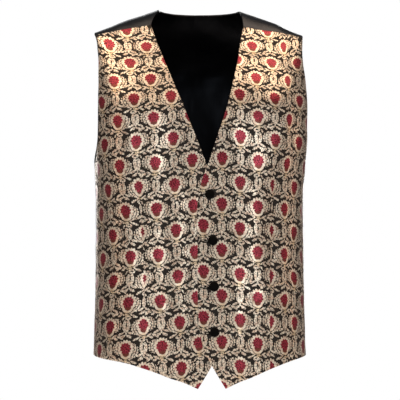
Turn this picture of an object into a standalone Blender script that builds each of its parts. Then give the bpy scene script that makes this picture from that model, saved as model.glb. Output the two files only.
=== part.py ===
"""A man's brocade waistcoat, filled out as if worn, open at the neck, armholes and hem.

The body is a family of sections. Each row of SECTIONS gives one level of the figure that the
garment is cut for: its half width, its depth in front of and behind the shoulder line, and how
square it is. From the chest up, the levels tilt until the last one lies along the shoulders.
A panel is a grid laid over the sections between its own four edges, and its cloth is a wall
about that grid.

Metres, +Z up. The front faces -Y, and +X is the wearer's left, which laps over the right.
The origin lies midway between the shoulders, level with the points where neck meets shoulder.
"""
import math

import bmesh
import bpy
import numpy as np
from mathutils import Matrix, Vector

# Cloth walls and clearances
FRONT_WALL = 0.0020
BACK_WALL = 0.0014
LINING_WALL = 0.0010
WELT_WALL = 0.0016
SEAM_GAP = 0.0004
LAY_GAP = 0.0004
LINING_SLACK = 0.0010

# Level, half width, front depth, back depth, front squareness, back squareness
SECTIONS = np.array([
    (0.000, 0.1735, 0.0000, 0.0000, 6.00, 3.60),
    (-0.002, 0.1735, 0.0075, 0.0170, 6.00, 3.60),
    (-0.008, 0.1735, 0.0152, 0.0340, 6.00, 3.50),
    (-0.018, 0.1737, 0.0235, 0.0510, 5.50, 3.30),
    (-0.035, 0.1740, 0.0345, 0.0700, 4.80, 3.10),
    (-0.060, 0.1743, 0.0510, 0.0890, 4.20, 2.90),
    (-0.100, 0.1755, 0.0805, 0.1060, 3.70, 2.85),
    (-0.150, 0.1770, 0.1045, 0.1120, 3.40, 2.80),
    (-0.200, 0.1760, 0.1115, 0.1100, 3.30, 2.70),
    (-0.250, 0.1730, 0.1100, 0.1050, 3.20, 2.55),
    (-0.310, 0.1708, 0.1060, 0.0985, 3.05, 2.45),
    (-0.370, 0.1708, 0.1040, 0.0960, 2.95, 2.40),
    (-0.440, 0.1712, 0.1055, 0.1000, 2.90, 2.40),
    (-0.500, 0.1722, 0.1065, 0.1060, 2.90, 2.40),
    (-0.560, 0.1742, 0.1065, 0.1110, 2.90, 2.40),
    (-0.640, 0.1770, 0.1060, 0.1130, 2.90, 2.40)])
CHEST_LEVEL = -0.250

# Distance from the middle, height of the shoulder ridge
RIDGE = np.array([
    (0.000, 0.0180), (0.035, 0.0120), (0.068, 0.0000), (0.092, -0.0085), (0.112, -0.0150),
    (0.131, -0.0220), (0.144, -0.0280), (0.163, -0.0355), (0.176, -0.0400), (0.190, -0.0440)])

# Inner edge of the upper front, from its point to the shoulder seam: x, z
OVER_EDGE = np.array([
    (0.0275, -0.6150), (0.0057, -0.5785), (-0.0040, -0.5593), (-0.0105, -0.5417),
    (-0.0140, -0.5240), (-0.0173, -0.4730), (-0.0173, -0.3935), (-0.0173, -0.3160),
    (-0.0140, -0.2940), (0.0006, -0.2500), (0.0166, -0.2021), (0.0299, -0.1635),
    (0.0408, -0.1246), (0.0530, -0.0847), (0.0612, -0.0535), (0.0692, -0.0285)])

# Inner edge of the under front, the same way: x, z
UNDER_EDGE = np.array([
    (-0.0168, -0.6158), (0.0057, -0.5785), (0.0150, -0.5590), (0.0215, -0.5417),
    (0.0245, -0.5240), (0.0262, -0.4730), (0.0240, -0.3935), (0.0215, -0.3300),
    (0.0170, -0.3070), (-0.0050, -0.2520), (-0.0250, -0.2023), (-0.0398, -0.1641),
    (-0.0548, -0.1255), (-0.0675, -0.0865), (-0.0765, -0.0550), (-0.0835, -0.0270)])

# Hem of the fronts: distance from the closing line, z
CLOSING_X = 0.0053
FRONT_HEM = np.array([
    (0.022, -0.6154), (0.045, -0.6050), (0.065, -0.5985), (0.090, -0.5885),
    (0.115, -0.5800), (0.140, -0.5735), (0.165, -0.5700), (0.180, -0.5685)])
SIDE_HEM = -0.5690
BACK_HEM = -0.5740

# Side seam: z, distance behind the widest point of the side, along the cloth
SIDE_SEAM = np.array([
    (-0.5690, 0.0100), (-0.5000, 0.0060), (-0.4400, -0.0040), (-0.3700, -0.0140),
    (-0.3100, -0.0080), (-0.2550, 0.0000)])

# Armhole from the underarm to the shoulder tip: z, distance ahead, distance behind
ARMHOLE = np.array([
    (-0.2550, 0.0000, 0.0000), (-0.2490, 0.0200, 0.0200), (-0.2380, 0.0360, 0.0370),
    (-0.2200, 0.0490, 0.0520), (-0.1900, 0.0560, 0.0620), (-0.1650, 0.0545, 0.0640),
    (-0.1228, 0.0435, 0.0600), (-0.0889, 0.0305, 0.0490), (-0.0677, 0.0220, 0.0370),
    (-0.0533, 0.0145, 0.0250), (-0.0448, 0.0080, 0.0130), (-0.0400, 0.0000, 0.0000)])
ARMHOLE_STEPS = 60
SEAM_END_STEPS = 2

# Shoulder seam: part of the way from the neck out, how much of its neck end's drop is left
SHOULDER_SEAM = np.array([
    (0.00, 1.00), (0.25, 0.86), (0.45, 0.67), (0.65, 0.40), (0.82, 0.16), (1.00, 0.00)])

# Back neckline from the middle to the neck point, then down the front to the seam: x, z
BACK_NECK = np.array([
    (0.000, -0.0020), (0.020, -0.0020), (0.040, -0.0015), (0.055, -0.0008), (0.068, 0.0000)])
NECK_SIDE_LEFT = np.array([(0.0685, -0.0060), (0.0695, -0.0160)])
NECK_SIDE_RIGHT = np.array([(0.0725, -0.0060), (0.0795, -0.0160)])

# Button places down the closing line: x, z
BUTTON_PLACES = ((0.0017, -0.3042), (0.0070, -0.3784), (0.0084, -0.4518), (0.0092, -0.5244))
BUTTON_RADIUS = 0.0073
BUTTON_DOME = 0.0042
BUTTON_RIM = 0.0012
SHANK_RADIUS = 0.0021
SHANK_LENGTH = 0.0012
DOME_TURNS = (0.35, 0.75, 1.10, 1.40)
RIM_TAPER = 0.92
BUTTON_STEPS = 20

# Points closer than this are one point
MERGE = 0.00005

# Steps in root: one to measure cloth by, and one just off the ridge
ROOT_STEP = 0.001
OFF_RIDGE = 0.0005

# Grids: columns from the centre out, rows from the hem up, and how rows close up at the top
FRONT_COLUMNS = 22
FRONT_ROWS = 32
FRONT_ROW_EASE = 1.25
FRONT_UNDERARM_ROW = 15
BACK_COLUMNS = 11
BACK_ROWS = 28
BACK_ROW_EASE = 1.80
BACK_UNDERARM_ROW = 10
NAPE_ROW = 19

# The fronts part by this much on each side of their shared form where they lap
LAP_LIFT = 0.00135
LAP_FULL = 0.028
LAP_END = 0.066

# Welts: first and last grid column, and the height of the inner end's lower edge
WELT_COLUMNS = (8, 17)
WELT_FOOT = -0.4820

# Soft folds and darts. Panel, distance round from the centre and z at the top, the same at
# the bottom, half width, rise. They fade out over the last part of their length at each end
FOLD_END = 0.30
FOLDS = (
    ("front_right", 0.078, -0.245, 0.078, -0.480, 0.022, 0.0024),
    ("front_right", 0.030, -0.265, 0.024, -0.530, 0.016, -0.0018),
    ("front_right", 0.062, -0.470, 0.108, -0.600, 0.020, 0.0024),
    ("front_right", 0.190, -0.270, 0.175, -0.430, 0.018, -0.0022),
    ("front_right", 0.165, -0.215, 0.085, -0.195, 0.024, -0.0022),
    ("front_right", 0.113, -0.270, 0.103, -0.455, 0.009, -0.0014),
    ("front_left", 0.070, -0.245, 0.068, -0.420, 0.028, 0.0022),
    ("front_left", 0.050, -0.470, 0.048, -0.610, 0.018, 0.0024),
    ("front_left", 0.195, -0.270, 0.180, -0.420, 0.018, -0.0022),
    ("front_left", 0.160, -0.205, 0.080, -0.190, 0.024, -0.0020),
    ("front_left", 0.113, -0.265, 0.103, -0.450, 0.009, -0.0014),
    ("back_right", 0.080, -0.180, 0.070, -0.520, 0.024, 0.0030),
    ("back_right", 0.125, -0.260, 0.120, -0.540, 0.020, -0.0028),
    ("back_right", 0.030, -0.300, 0.035, -0.560, 0.018, -0.0020),
    ("back_left", 0.074, -0.200, 0.082, -0.500, 0.024, 0.0030),
    ("back_left", 0.120, -0.240, 0.128, -0.550, 0.020, -0.0028),
    ("back_left", 0.034, -0.330, 0.028, -0.565, 0.018, -0.0020))

QUARTER = np.linspace(0.0, math.pi / 2, 91)
LEVEL_ROOT = np.sqrt(-SECTIONS[:, 0])
FRONT, BACK = 1, -1
LEFT, RIGHT = 1, -1


def smooth(keys, values, at):
    """Cubic interpolation through a short table with rising keys."""
    at = np.clip(at, keys[0], keys[-1])
    slopes = np.gradient(values, keys)
    i = np.clip(np.searchsorted(keys, at) - 1, 0, len(keys) - 2)
    span = keys[i + 1] - keys[i]
    u = (at - keys[i]) / span
    low = (1 + 2 * u) * (1 - u) ** 2 * values[i] + u * (1 - u) ** 2 * span * slopes[i]
    high = u * u * (3 - 2 * u) * values[i + 1] + u * u * (u - 1) * span * slopes[i + 1]
    return low + high


def smooth_step(u):
    u = np.clip(u, 0.0, 1.0)
    return u * u * (3 - 2 * u)


def lengths(points):
    """Running length along a list of points."""
    steps = np.linalg.norm(np.diff(np.asarray(points), axis=0), axis=1)
    return np.concatenate([[0.0], np.cumsum(steps)])


def quarter_section(face, root):
    """Half of one face of a section, from the middle out: x, y and running length.

    root is the square root of the drop from the ridge to the section's level.
    """
    half = smooth(LEVEL_ROOT, SECTIONS[:, 1], root)
    depth = smooth(LEVEL_ROOT, SECTIONS[:, 2 if face == FRONT else 3], root)
    square = smooth(LEVEL_ROOT, SECTIONS[:, 4 if face == FRONT else 5], root)
    x = half * np.sin(QUARTER) ** (2 / square)
    y = depth * np.maximum(np.cos(QUARTER), 0.0) ** (2 / square)
    return x, y, lengths(np.stack([x, y], axis=1))


def ridge_scale(x):
    ridge = smooth(RIDGE[:, 0], RIDGE[:, 1], abs(x))
    return (ridge - CHEST_LEVEL) / -CHEST_LEVEL


def height_of(x, level):
    if level <= CHEST_LEVEL:
        return level
    return CHEST_LEVEL + (level - CHEST_LEVEL) * ridge_scale(x)


def root_of(x, z):
    """Square root of the drop of the level that passes through a place seen from in front."""
    level = z
    if z > CHEST_LEVEL:
        level = CHEST_LEVEL + (z - CHEST_LEVEL) / ridge_scale(x)
    return math.sqrt(max(-level, 0.0))


def place(face, share, root):
    """A point of the form.

    share runs from 0 at the middle of the face to 1 at the side, and past 1 round on to the
    other face. A negative root lies on the other face too, across the shoulder ridge.
    """
    if root < 0:
        face, root = -face, -root
    x, y, run = quarter_section(face, root)
    along = abs(share) * run[-1]
    if along > run[-1]:
        past = along - run[-1]
        face = -face
        x, y, run = quarter_section(face, root)
        along = run[-1] - past
    px = math.copysign(np.interp(along, run, x), share)
    return np.array([px, -face * np.interp(along, run, y), height_of(px, -root * root)])


def share_at_x(face, x, root):
    xs, _, run = quarter_section(face, root)
    return math.copysign(np.interp(abs(x), xs, run) / run[-1], x)


def share_at_y(face, y, root):
    _, ys, run = quarter_section(face, root)
    return np.interp(abs(y), ys[::-1], run[::-1]) / run[-1]


def seen_from_front(face, x, z):
    """Share and root of a place on a face, given as it is seen from in front."""
    root = root_of(x, z)
    return share_at_x(face, x, root), root


def resampled(table, count):
    """A smooth curve through a table of two columns, as evenly spaced rows."""
    run = lengths(table)
    at = np.linspace(0.0, run[-1], count)
    return np.stack([smooth(run, table[:, 0], at), smooth(run, table[:, 1], at)], axis=1)


def rows_up(row, rows, ease):
    """Part of a panel's height at one of its rows."""
    return 1 - (1 - row / rows) ** ease


class Edge:
    """An edge of a panel, as shares and roots that can be read at a part of its length.

    A corner in it can be held at a given part, so that a row of the grid ends there.
    """

    def __init__(self, face, places, corner=0, held_at=0.0):
        self.places = np.array(places)
        run = lengths([place(face, share, root) for share, root in self.places])
        self.part = run / run[-1]
        if corner:
            self.part = np.interp(self.part, [0.0, self.part[corner], 1.0], [0.0, held_at, 1.0])

    def at(self, part):
        share = np.interp(part, self.part, self.places[:, 0])
        return np.array([share, np.interp(part, self.part, self.places[:, 1])])


def armhole(face, side):
    """Armhole edge of a face from the underarm to the shoulder tip, without its two ends."""
    column = 1 if face == FRONT else 2
    rim = SECTIONS[0, 1]
    places = []
    for z, out in resampled(ARMHOLE[:, (0, column)], ARMHOLE_STEPS + 1)[1:-1]:
        root = root_of(rim, z)
        places.append((side * share_at_y(face, out, root), root))
    return places


def side_seam(face, side):
    """Side seam from the hem to the underarm, half a seam gap inside the panel."""
    places = []
    for z in np.linspace(SIDE_HEM, ARMHOLE[0, 0], 17):
        root = math.sqrt(-z)
        run = quarter_section(face, root)[2][-1]
        behind = smooth(SIDE_SEAM[:, 0], SIDE_SEAM[:, 1], z)
        places.append((side * (1 + (face * behind - SEAM_GAP / 2) / run), root))
    return places


def shoulder_seam(side, neck, gap):
    """Shoulder seam on the front face from the neck out, moved down the front by gap."""
    tip = armhole(FRONT, side)[-SEAM_END_STEPS]
    places = []
    for part in np.linspace(0.0, 1.0, 25):
        left = smooth(SHOULDER_SEAM[:, 0], SHOULDER_SEAM[:, 1], part)
        root = tip[1] + (neck[1] - tip[1]) * left
        share = neck[0] + (tip[0] - neck[0]) * part
        ahead = place(FRONT, share, root + ROOT_STEP)
        step = np.linalg.norm(ahead - place(FRONT, share, root))
        places.append((share, root + gap * ROOT_STEP / step))
    return places


def patch(face, inner, outer, bottom, top, columns, rows, ease):
    """Points of a panel between its four edges, with the share and root of each."""
    corners = inner.at(0), outer.at(0), inner.at(1), outer.at(1)
    points = np.zeros((rows + 1, columns + 1, 3))
    places = np.zeros((rows + 1, columns + 1, 2))
    for r in range(rows + 1):
        up = rows_up(r, rows, ease)
        for c in range(columns + 1):
            out = c / columns
            spot = (1 - out) * inner.at(up) + out * outer.at(up)
            spot = spot + (1 - up) * bottom.at(out) + up * top.at(out)
            spot = spot - (1 - up) * ((1 - out) * corners[0] + out * corners[1])
            spot = spot - up * ((1 - out) * corners[2] + out * corners[3])
            places[r, c] = spot
            points[r, c] = place(face, *spot)
    return points, places


def outward(points):
    """Unit normals of a grid of points, away from the figure's middle."""
    along = np.gradient(points, axis=1)
    up = np.gradient(points, axis=0)
    normals = np.cross(along, up)
    normals /= np.linalg.norm(normals, axis=2, keepdims=True)
    centre = np.array([0.0, 0.0, CHEST_LEVEL])
    facing = np.sum(normals * (points - centre), axis=2)
    return normals * np.sign(np.median(facing))


def fold_rise(name, face, share, root, z):
    """Height of the soft folds and darts of a panel at one place."""
    run = quarter_section(face, abs(root))[2][-1]
    across = abs(share) * run
    rise = 0.0
    for panel, top_x, top_z, foot_x, foot_z, half_width, height in FOLDS:
        if panel != name:
            continue
        start = np.array([top_x, top_z])
        line = np.array([foot_x, foot_z]) - start
        here = np.array([across, z]) - start
        part = np.clip(here @ line / (line @ line), 0.0, 1.0)
        off = np.linalg.norm(here - part * line) / half_width
        fade = smooth_step(part / FOLD_END + FOLD_END)
        fade *= smooth_step((1 - part) / FOLD_END + FOLD_END)
        rise += height * fade * math.exp(-off * off)
    return rise


def lap_rise(name, x):
    """How far a front stands off the shared form where the two lap."""
    if name == "front_left":
        return LAP_LIFT * smooth_step((LAP_END - x) / (LAP_END - LAP_FULL))
    if name == "front_right":
        return -LAP_LIFT * smooth_step((LAP_END + x) / (LAP_END - LAP_FULL))
    return 0.0


def draped(name, face, points, places):
    """Panel points with their folds and lap, and their normals."""
    normals = outward(points)
    moved = points.copy()
    for index in np.ndindex(points.shape[:2]):
        share, root = places[index]
        rise = fold_rise(name, face, share, root, points[index][2])
        moved[index] += normals[index] * (rise + lap_rise(name, points[index][0]))
    return moved, outward(moved)


def front_panel(name, side, edge_table):
    """Grid of one front, from its inner edge to the side seam and armhole."""
    edge = [seen_from_front(FRONT, x, z) for x, z in resampled(edge_table, 81)]
    outer = side_seam(FRONT, side)
    underarm = len(outer) - 1
    outer += armhole(FRONT, side)[:-SEAM_END_STEPS]
    seam = shoulder_seam(side, edge[-1], SEAM_GAP / 2)
    edge.append(seam[0])
    outer.append(seam[-1])
    hem = []
    for part in np.linspace(0.0, 1.0, 33):
        share = edge[0][0] + (outer[0][0] - edge[0][0]) * part
        x = place(FRONT, share, edge[0][1])[0]
        z = smooth(FRONT_HEM[:, 0], FRONT_HEM[:, 1], side * (x - CLOSING_X))
        hem.append((share, math.sqrt(-z)))
    underarm_part = rows_up(FRONT_UNDERARM_ROW, FRONT_ROWS, FRONT_ROW_EASE)
    points, places = patch(FRONT, Edge(FRONT, edge), Edge(FRONT, outer, underarm, underarm_part),
                           Edge(FRONT, hem), Edge(FRONT, seam),
                           FRONT_COLUMNS, FRONT_ROWS, FRONT_ROW_EASE)
    return draped(name, FRONT, points, places)


def back_panel(name, side, neck_side, edge_table):
    """Grid of one half of the back, which crosses the shoulder to the seam in front."""
    hem_root = math.sqrt(-BACK_HEM)
    neck_root = root_of(0.0, BACK_NECK[0, 1])
    edge = []
    for root in np.linspace(hem_root, neck_root, 33):
        edge.append((side * SEAM_GAP / 2 / quarter_section(BACK, root)[2][-1], root))
    nape = len(edge) - 1
    for x, z in resampled(BACK_NECK, 17)[1:-1]:
        share, root = seen_from_front(BACK, x, z)
        edge.append((side * share, root))
    edge.append((side * share_at_x(BACK, BACK_NECK[-1, 0], OFF_RIDGE), 0.0))
    for x, z in neck_side:
        share, root = seen_from_front(FRONT, x, z)
        edge.append((side * share, -root))
    seam = shoulder_seam(side, seen_from_front(FRONT, *edge_table[-1]), -SEAM_GAP / 2)
    seam = [(share, -root) for share, root in seam]
    edge.append(seam[0])
    ahead = armhole(FRONT, side)[:-SEAM_END_STEPS:-1]
    outer = side_seam(BACK, side)
    underarm = len(outer) - 1
    outer += armhole(BACK, side) + [(side * 1.0, 0.0)]
    outer += [(share, -root) for share, root in ahead] + [seam[-1]]
    hem = []
    for part in np.linspace(0.0, 1.0, 17):
        share = edge[0][0] + (outer[0][0] - edge[0][0]) * part
        z = BACK_HEM + (SIDE_HEM - BACK_HEM) * smooth_step(part)
        hem.append((share, math.sqrt(-z)))
    nape_part = rows_up(NAPE_ROW, BACK_ROWS, BACK_ROW_EASE)
    underarm_part = rows_up(BACK_UNDERARM_ROW, BACK_ROWS, BACK_ROW_EASE)
    points, places = patch(BACK, Edge(BACK, edge, nape, nape_part),
                           Edge(BACK, outer, underarm, underarm_part),
                           Edge(BACK, hem), Edge(BACK, seam),
                           BACK_COLUMNS, BACK_ROWS, BACK_ROW_EASE)
    return draped(name, BACK, points, places)


def material(name, colour, roughness, metallic=0.0):
    mat = bpy.data.materials.new(name)
    mat.use_nodes = True
    shader = mat.node_tree.nodes["Principled BSDF"]
    shader.inputs["Base Color"].default_value = (*colour, 1.0)
    shader.inputs["Roughness"].default_value = roughness
    shader.inputs["Metallic"].default_value = metallic
    return mat


def add_object(name, mesh, mat, collection):
    obj = bpy.data.objects.new(name, mesh)
    collection.objects.link(obj)
    mesh.materials.append(mat)
    return obj


def cloth_piece(name, grids, wall, mat, collection):
    """Grids of points as one open sheet, joined where they meet and thickened to its wall."""
    sheet = bmesh.new()
    for points in grids:
        rows, columns = points.shape[0] - 1, points.shape[1] - 1
        made = bmesh.ops.create_grid(sheet, x_segments=columns, y_segments=rows, size=0.5)
        for vertex, point in zip(made["verts"], points.reshape(-1, 3)):
            vertex.co = Vector(point)
    bmesh.ops.remove_doubles(sheet, verts=sheet.verts, dist=MERGE)
    bmesh.ops.recalc_face_normals(sheet, faces=sheet.faces)
    mesh = bpy.data.meshes.new(name)
    sheet.to_mesh(mesh)
    sheet.free()
    mesh.shade_smooth()
    obj = add_object(name, mesh, mat, collection)
    solid = obj.modifiers.new("wall", "SOLIDIFY")
    solid.thickness = wall
    solid.offset = 0.0
    return obj


def welt(name, points, normals, mat, collection):
    """A pocket welt laid on a front, made from the front's own points moved out."""
    first, last = WELT_COLUMNS
    foot = int(np.argmin(np.abs(points[:, first, 2] - WELT_FOOT)))
    span = (slice(foot, foot + 2), slice(first, last + 1))
    lift = FRONT_WALL / 2 + LAY_GAP + WELT_WALL / 2
    grid = points[span] + normals[span] * lift
    return cloth_piece(name, [grid], WELT_WALL, mat, collection)


def covered_button(name, seat, normal, mat, collection):
    """A domed cloth-covered button on a short shank, turned about its own axis."""
    base = SHANK_LENGTH
    rim = base + BUTTON_RIM
    profile = [(0.0, rim + BUTTON_DOME)]
    for turn in DOME_TURNS:
        profile.append((BUTTON_RADIUS * math.sin(turn), rim + BUTTON_DOME * math.cos(turn)))
    profile += [(BUTTON_RADIUS, rim), (BUTTON_RADIUS * RIM_TAPER, base)]
    profile += [(SHANK_RADIUS, base), (SHANK_RADIUS, 0.0), (0.0, 0.0)]
    mesh = bpy.data.meshes.new(name)
    mesh.from_pydata([(r, 0.0, z) for r, z in profile],
                     [(i, i + 1) for i in range(len(profile) - 1)], [])
    obj = add_object(name, mesh, mat, collection)
    turned = obj.modifiers.new("turned", "SCREW")
    turned.steps = BUTTON_STEPS
    turned.render_steps = BUTTON_STEPS
    turned.use_merge_vertices = True
    turned.merge_threshold = MERGE
    turned.use_normal_calculate = True
    turned.use_smooth_shade = True
    aim = Vector(normal).to_track_quat("Z", "Y").to_matrix().to_4x4()
    obj.matrix_world = Matrix.Translation(Vector(seat)) @ aim
    return obj


def button_seat(points, normals, x, z):
    """Place on a front's outer face nearest to a place seen from in front."""
    away = np.hypot(points[..., 0] - x, points[..., 2] - z).ravel()
    near = np.argsort(away)[:4]
    weight = 1 / (away[near] + 1e-6) ** 2
    weight /= weight.sum()
    normal = (normals.reshape(-1, 3)[near] * weight[:, None]).sum(axis=0)
    normal /= np.linalg.norm(normal)
    anchor = points.reshape(-1, 3)[near[0]]
    flat = np.array([x, 0.0, z])
    depth = anchor[1] - (normal[0] * (x - anchor[0]) + normal[2] * (z - anchor[2])) / normal[1]
    flat[1] = depth
    return flat + normal * (FRONT_WALL / 2 + LAY_GAP), normal


def main():
    for obj in list(bpy.data.objects):
        bpy.data.objects.remove(obj, do_unlink=True)
    collection = bpy.data.collections.new("waistcoat")
    bpy.context.scene.collection.children.link(collection)

    brocade = material("floral_brocade", (0.42, 0.28, 0.20), 0.45)
    welt_brocade = material("floral_brocade_welt", (0.46, 0.31, 0.22), 0.45)
    satin = material("black_satin", (0.020, 0.022, 0.028), 0.35)
    lining = material("black_lining_satin", (0.012, 0.012, 0.015), 0.40)
    button_cloth = material("button_cloth", (0.008, 0.008, 0.009), 0.60)

    left, left_out = front_panel("front_left", LEFT, OVER_EDGE)
    right, right_out = front_panel("front_right", RIGHT, UNDER_EDGE)
    cloth_piece("front_left", [left], FRONT_WALL, brocade, collection)
    cloth_piece("front_right", [right], FRONT_WALL, brocade, collection)
    welt("welt_left", left, left_out, welt_brocade, collection)
    welt("welt_right", right, right_out, welt_brocade, collection)

    back_left, left_back_out = back_panel("back_left", LEFT, NECK_SIDE_LEFT, OVER_EDGE)
    back_right, right_back_out = back_panel("back_right", RIGHT, NECK_SIDE_RIGHT, UNDER_EDGE)
    cloth_piece("back_left", [back_left], BACK_WALL, satin, collection)
    cloth_piece("back_right", [back_right], BACK_WALL, satin, collection)

    inset = BACK_WALL / 2 + LINING_SLACK + LINING_WALL / 2
    lining_left = back_left - left_back_out * inset
    lining_right = back_right - right_back_out * inset
    to_nape = slice(0, NAPE_ROW + 1)
    middle = (lining_left[to_nape, 0] + lining_right[to_nape, 0]) / 2
    lining_left[to_nape, 0] = middle
    lining_right[to_nape, 0] = middle
    cloth_piece("back_lining", [lining_left, lining_right], LINING_WALL, lining, collection)

    for number, (x, z) in enumerate(BUTTON_PLACES, start=1):
        seat, normal = button_seat(left, left_out, x, z)
        covered_button(f"button_{number}", seat, normal, button_cloth, collection)


main()
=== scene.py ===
"""A man's brocade waistcoat with a black satin back, dressed over its CAD frame.

Metres, +Z up. The front faces -Y, and +X is the wearer's left, which laps over the right.
The body is a family of sections, one for each level of the figure that the garment is cut
for. A panel is a grid laid over the sections between its own four edges.
"""
import logging
import math
from dataclasses import dataclass
from enum import Enum, IntEnum
from typing import Any

import bmesh
import bpy
import numpy as np
from mathutils import Matrix, Vector, noise


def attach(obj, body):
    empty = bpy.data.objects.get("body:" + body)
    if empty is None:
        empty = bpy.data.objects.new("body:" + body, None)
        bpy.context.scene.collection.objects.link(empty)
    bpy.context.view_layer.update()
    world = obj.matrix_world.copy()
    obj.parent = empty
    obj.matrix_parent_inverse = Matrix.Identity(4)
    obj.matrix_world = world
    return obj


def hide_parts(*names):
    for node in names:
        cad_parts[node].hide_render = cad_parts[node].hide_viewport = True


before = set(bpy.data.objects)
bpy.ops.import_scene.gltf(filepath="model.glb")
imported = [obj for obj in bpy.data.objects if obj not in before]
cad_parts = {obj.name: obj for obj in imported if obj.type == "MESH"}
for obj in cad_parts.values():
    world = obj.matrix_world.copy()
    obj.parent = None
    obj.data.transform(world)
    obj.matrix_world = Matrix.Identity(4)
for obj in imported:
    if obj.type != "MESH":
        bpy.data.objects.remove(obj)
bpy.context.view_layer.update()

LOG = logging.getLogger("waistcoat")

# Level, half width, front depth, back depth, front squareness, back squareness
SECTIONS = np.array([
    (0.000, 0.1735, 0.0000, 0.0000, 6.00, 3.60),
    (-0.002, 0.1735, 0.0075, 0.0170, 6.00, 3.60),
    (-0.008, 0.1735, 0.0152, 0.0340, 6.00, 3.50),
    (-0.018, 0.1737, 0.0235, 0.0510, 5.50, 3.30),
    (-0.035, 0.1740, 0.0345, 0.0700, 4.80, 3.10),
    (-0.060, 0.1743, 0.0510, 0.0890, 4.20, 2.90),
    (-0.100, 0.1755, 0.0805, 0.1060, 3.70, 2.85),
    (-0.150, 0.1770, 0.1045, 0.1120, 3.40, 2.80),
    (-0.200, 0.1760, 0.1115, 0.1100, 3.30, 2.70),
    (-0.250, 0.1730, 0.1100, 0.1050, 3.20, 2.55),
    (-0.310, 0.1708, 0.1060, 0.0985, 3.05, 2.45),
    (-0.370, 0.1708, 0.1040, 0.0960, 2.95, 2.40),
    (-0.440, 0.1712, 0.1055, 0.1000, 2.90, 2.40),
    (-0.500, 0.1722, 0.1065, 0.1060, 2.90, 2.40),
    (-0.560, 0.1742, 0.1065, 0.1110, 2.90, 2.40),
    (-0.640, 0.1770, 0.1060, 0.1130, 2.90, 2.40)])
CHEST_LEVEL = -0.250

# Distance from the middle, height of the shoulder ridge
RIDGE = np.array([
    (0.000, 0.0180), (0.035, 0.0120), (0.068, 0.0000), (0.092, -0.0085), (0.112, -0.0150),
    (0.131, -0.0220), (0.144, -0.0280), (0.163, -0.0355), (0.176, -0.0400), (0.190, -0.0440)])

# Inner edge of the upper front, from its point to the shoulder seam: x, z
OVER_EDGE = np.array([
    (0.0275, -0.6150), (0.0057, -0.5785), (-0.0040, -0.5593), (-0.0105, -0.5417),
    (-0.0140, -0.5240), (-0.0173, -0.4730), (-0.0173, -0.3935), (-0.0173, -0.3160),
    (-0.0140, -0.2940), (0.0006, -0.2500), (0.0166, -0.2021), (0.0299, -0.1635),
    (0.0408, -0.1246), (0.0530, -0.0847), (0.0612, -0.0535), (0.0692, -0.0285)])

# Inner edge of the under front, the same way: x, z
UNDER_EDGE = np.array([
    (-0.0168, -0.6158), (0.0057, -0.5785), (0.0150, -0.5590), (0.0215, -0.5417),
    (0.0245, -0.5240), (0.0262, -0.4730), (0.0240, -0.3935), (0.0215, -0.3300),
    (0.0170, -0.3070), (-0.0050, -0.2520), (-0.0250, -0.2023), (-0.0398, -0.1641),
    (-0.0548, -0.1255), (-0.0675, -0.0865), (-0.0765, -0.0550), (-0.0835, -0.0270)])

# Hem of the fronts: distance from the closing line, z
CLOSING_X = 0.0053
FRONT_HEM = np.array([
    (0.022, -0.6154), (0.045, -0.6050), (0.065, -0.5985), (0.090, -0.5885),
    (0.115, -0.5800), (0.140, -0.5735), (0.165, -0.5700), (0.180, -0.5685)])
SIDE_HEM = -0.5690
BACK_HEM = -0.5740

# Side seam: z, distance behind the widest point of the side, along the cloth
SIDE_SEAM = np.array([
    (-0.5690, 0.0100), (-0.5000, 0.0060), (-0.4400, -0.0040), (-0.3700, -0.0140),
    (-0.3100, -0.0080), (-0.2550, 0.0000)])

# Armhole from the underarm to the shoulder tip: z, distance ahead, distance behind
ARMHOLE = np.array([
    (-0.2550, 0.0000, 0.0000), (-0.2490, 0.0200, 0.0200), (-0.2380, 0.0360, 0.0370),
    (-0.2200, 0.0490, 0.0520), (-0.1900, 0.0560, 0.0620), (-0.1650, 0.0545, 0.0640),
    (-0.1228, 0.0435, 0.0600), (-0.0889, 0.0305, 0.0490), (-0.0677, 0.0220, 0.0370),
    (-0.0533, 0.0145, 0.0250), (-0.0448, 0.0080, 0.0130), (-0.0400, 0.0000, 0.0000)])
ARMHOLE_STEPS = 60
SEAM_END_STEPS = 2

# Shoulder seam: part of the way from the neck out, how much of its neck end's drop is left
SHOULDER_SEAM = np.array([
    (0.00, 1.00), (0.25, 0.86), (0.45, 0.67), (0.65, 0.40), (0.82, 0.16), (1.00, 0.00)])

# Back neckline from the middle to the neck point, then down the front to the seam: x, z
BACK_NECK = np.array([
    (0.000, -0.0020), (0.020, -0.0020), (0.040, -0.0015), (0.055, -0.0008), (0.068, 0.0000)])
NECK_SIDE_LEFT = np.array([(0.0685, -0.0060), (0.0695, -0.0160)])
NECK_SIDE_RIGHT = np.array([(0.0725, -0.0060), (0.0795, -0.0160)])

# Button places down the closing line: x, z
BUTTON_PLACES = ((0.0017, -0.3042), (0.0070, -0.3784), (0.0084, -0.4518), (0.0092, -0.5244))

# Cloth walls and clearances
FRONT_WALL = 0.0020
BACK_WALL = 0.0014
LINING_WALL = 0.0010
WELT_WALL = 0.0016
SEAM_GAP = 0.0001
LAY_GAP = 0.0004
LINING_SLACK = 0.0010
MERGE = 0.00005

# Grid points that settle where a button or a stitch sits on its front
SEAT_POINTS = 16

# The cut edges of the cloth are rounded by this share of its wall, where they are sharper
# than this many degrees
EDGE_ROUND = 0.35
EDGE_SHARP = 50

# Places that an edge is measured at: a front's inner edge, its hem, the centre back, the
# neckline, the hem of the back, the side seam and the shoulder seam
INNER_PLACES = 81
HEM_PLACES = 33
CENTRE_PLACES = 33
NECK_PLACES = 17
BACK_HEM_PLACES = 17
SIDE_PLACES = 17
SHOULDER_PLACES = 25

# Steps in root: one to measure cloth by, and one just off the ridge
ROOT_STEP = 0.001
OFF_RIDGE = 0.0005

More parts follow.
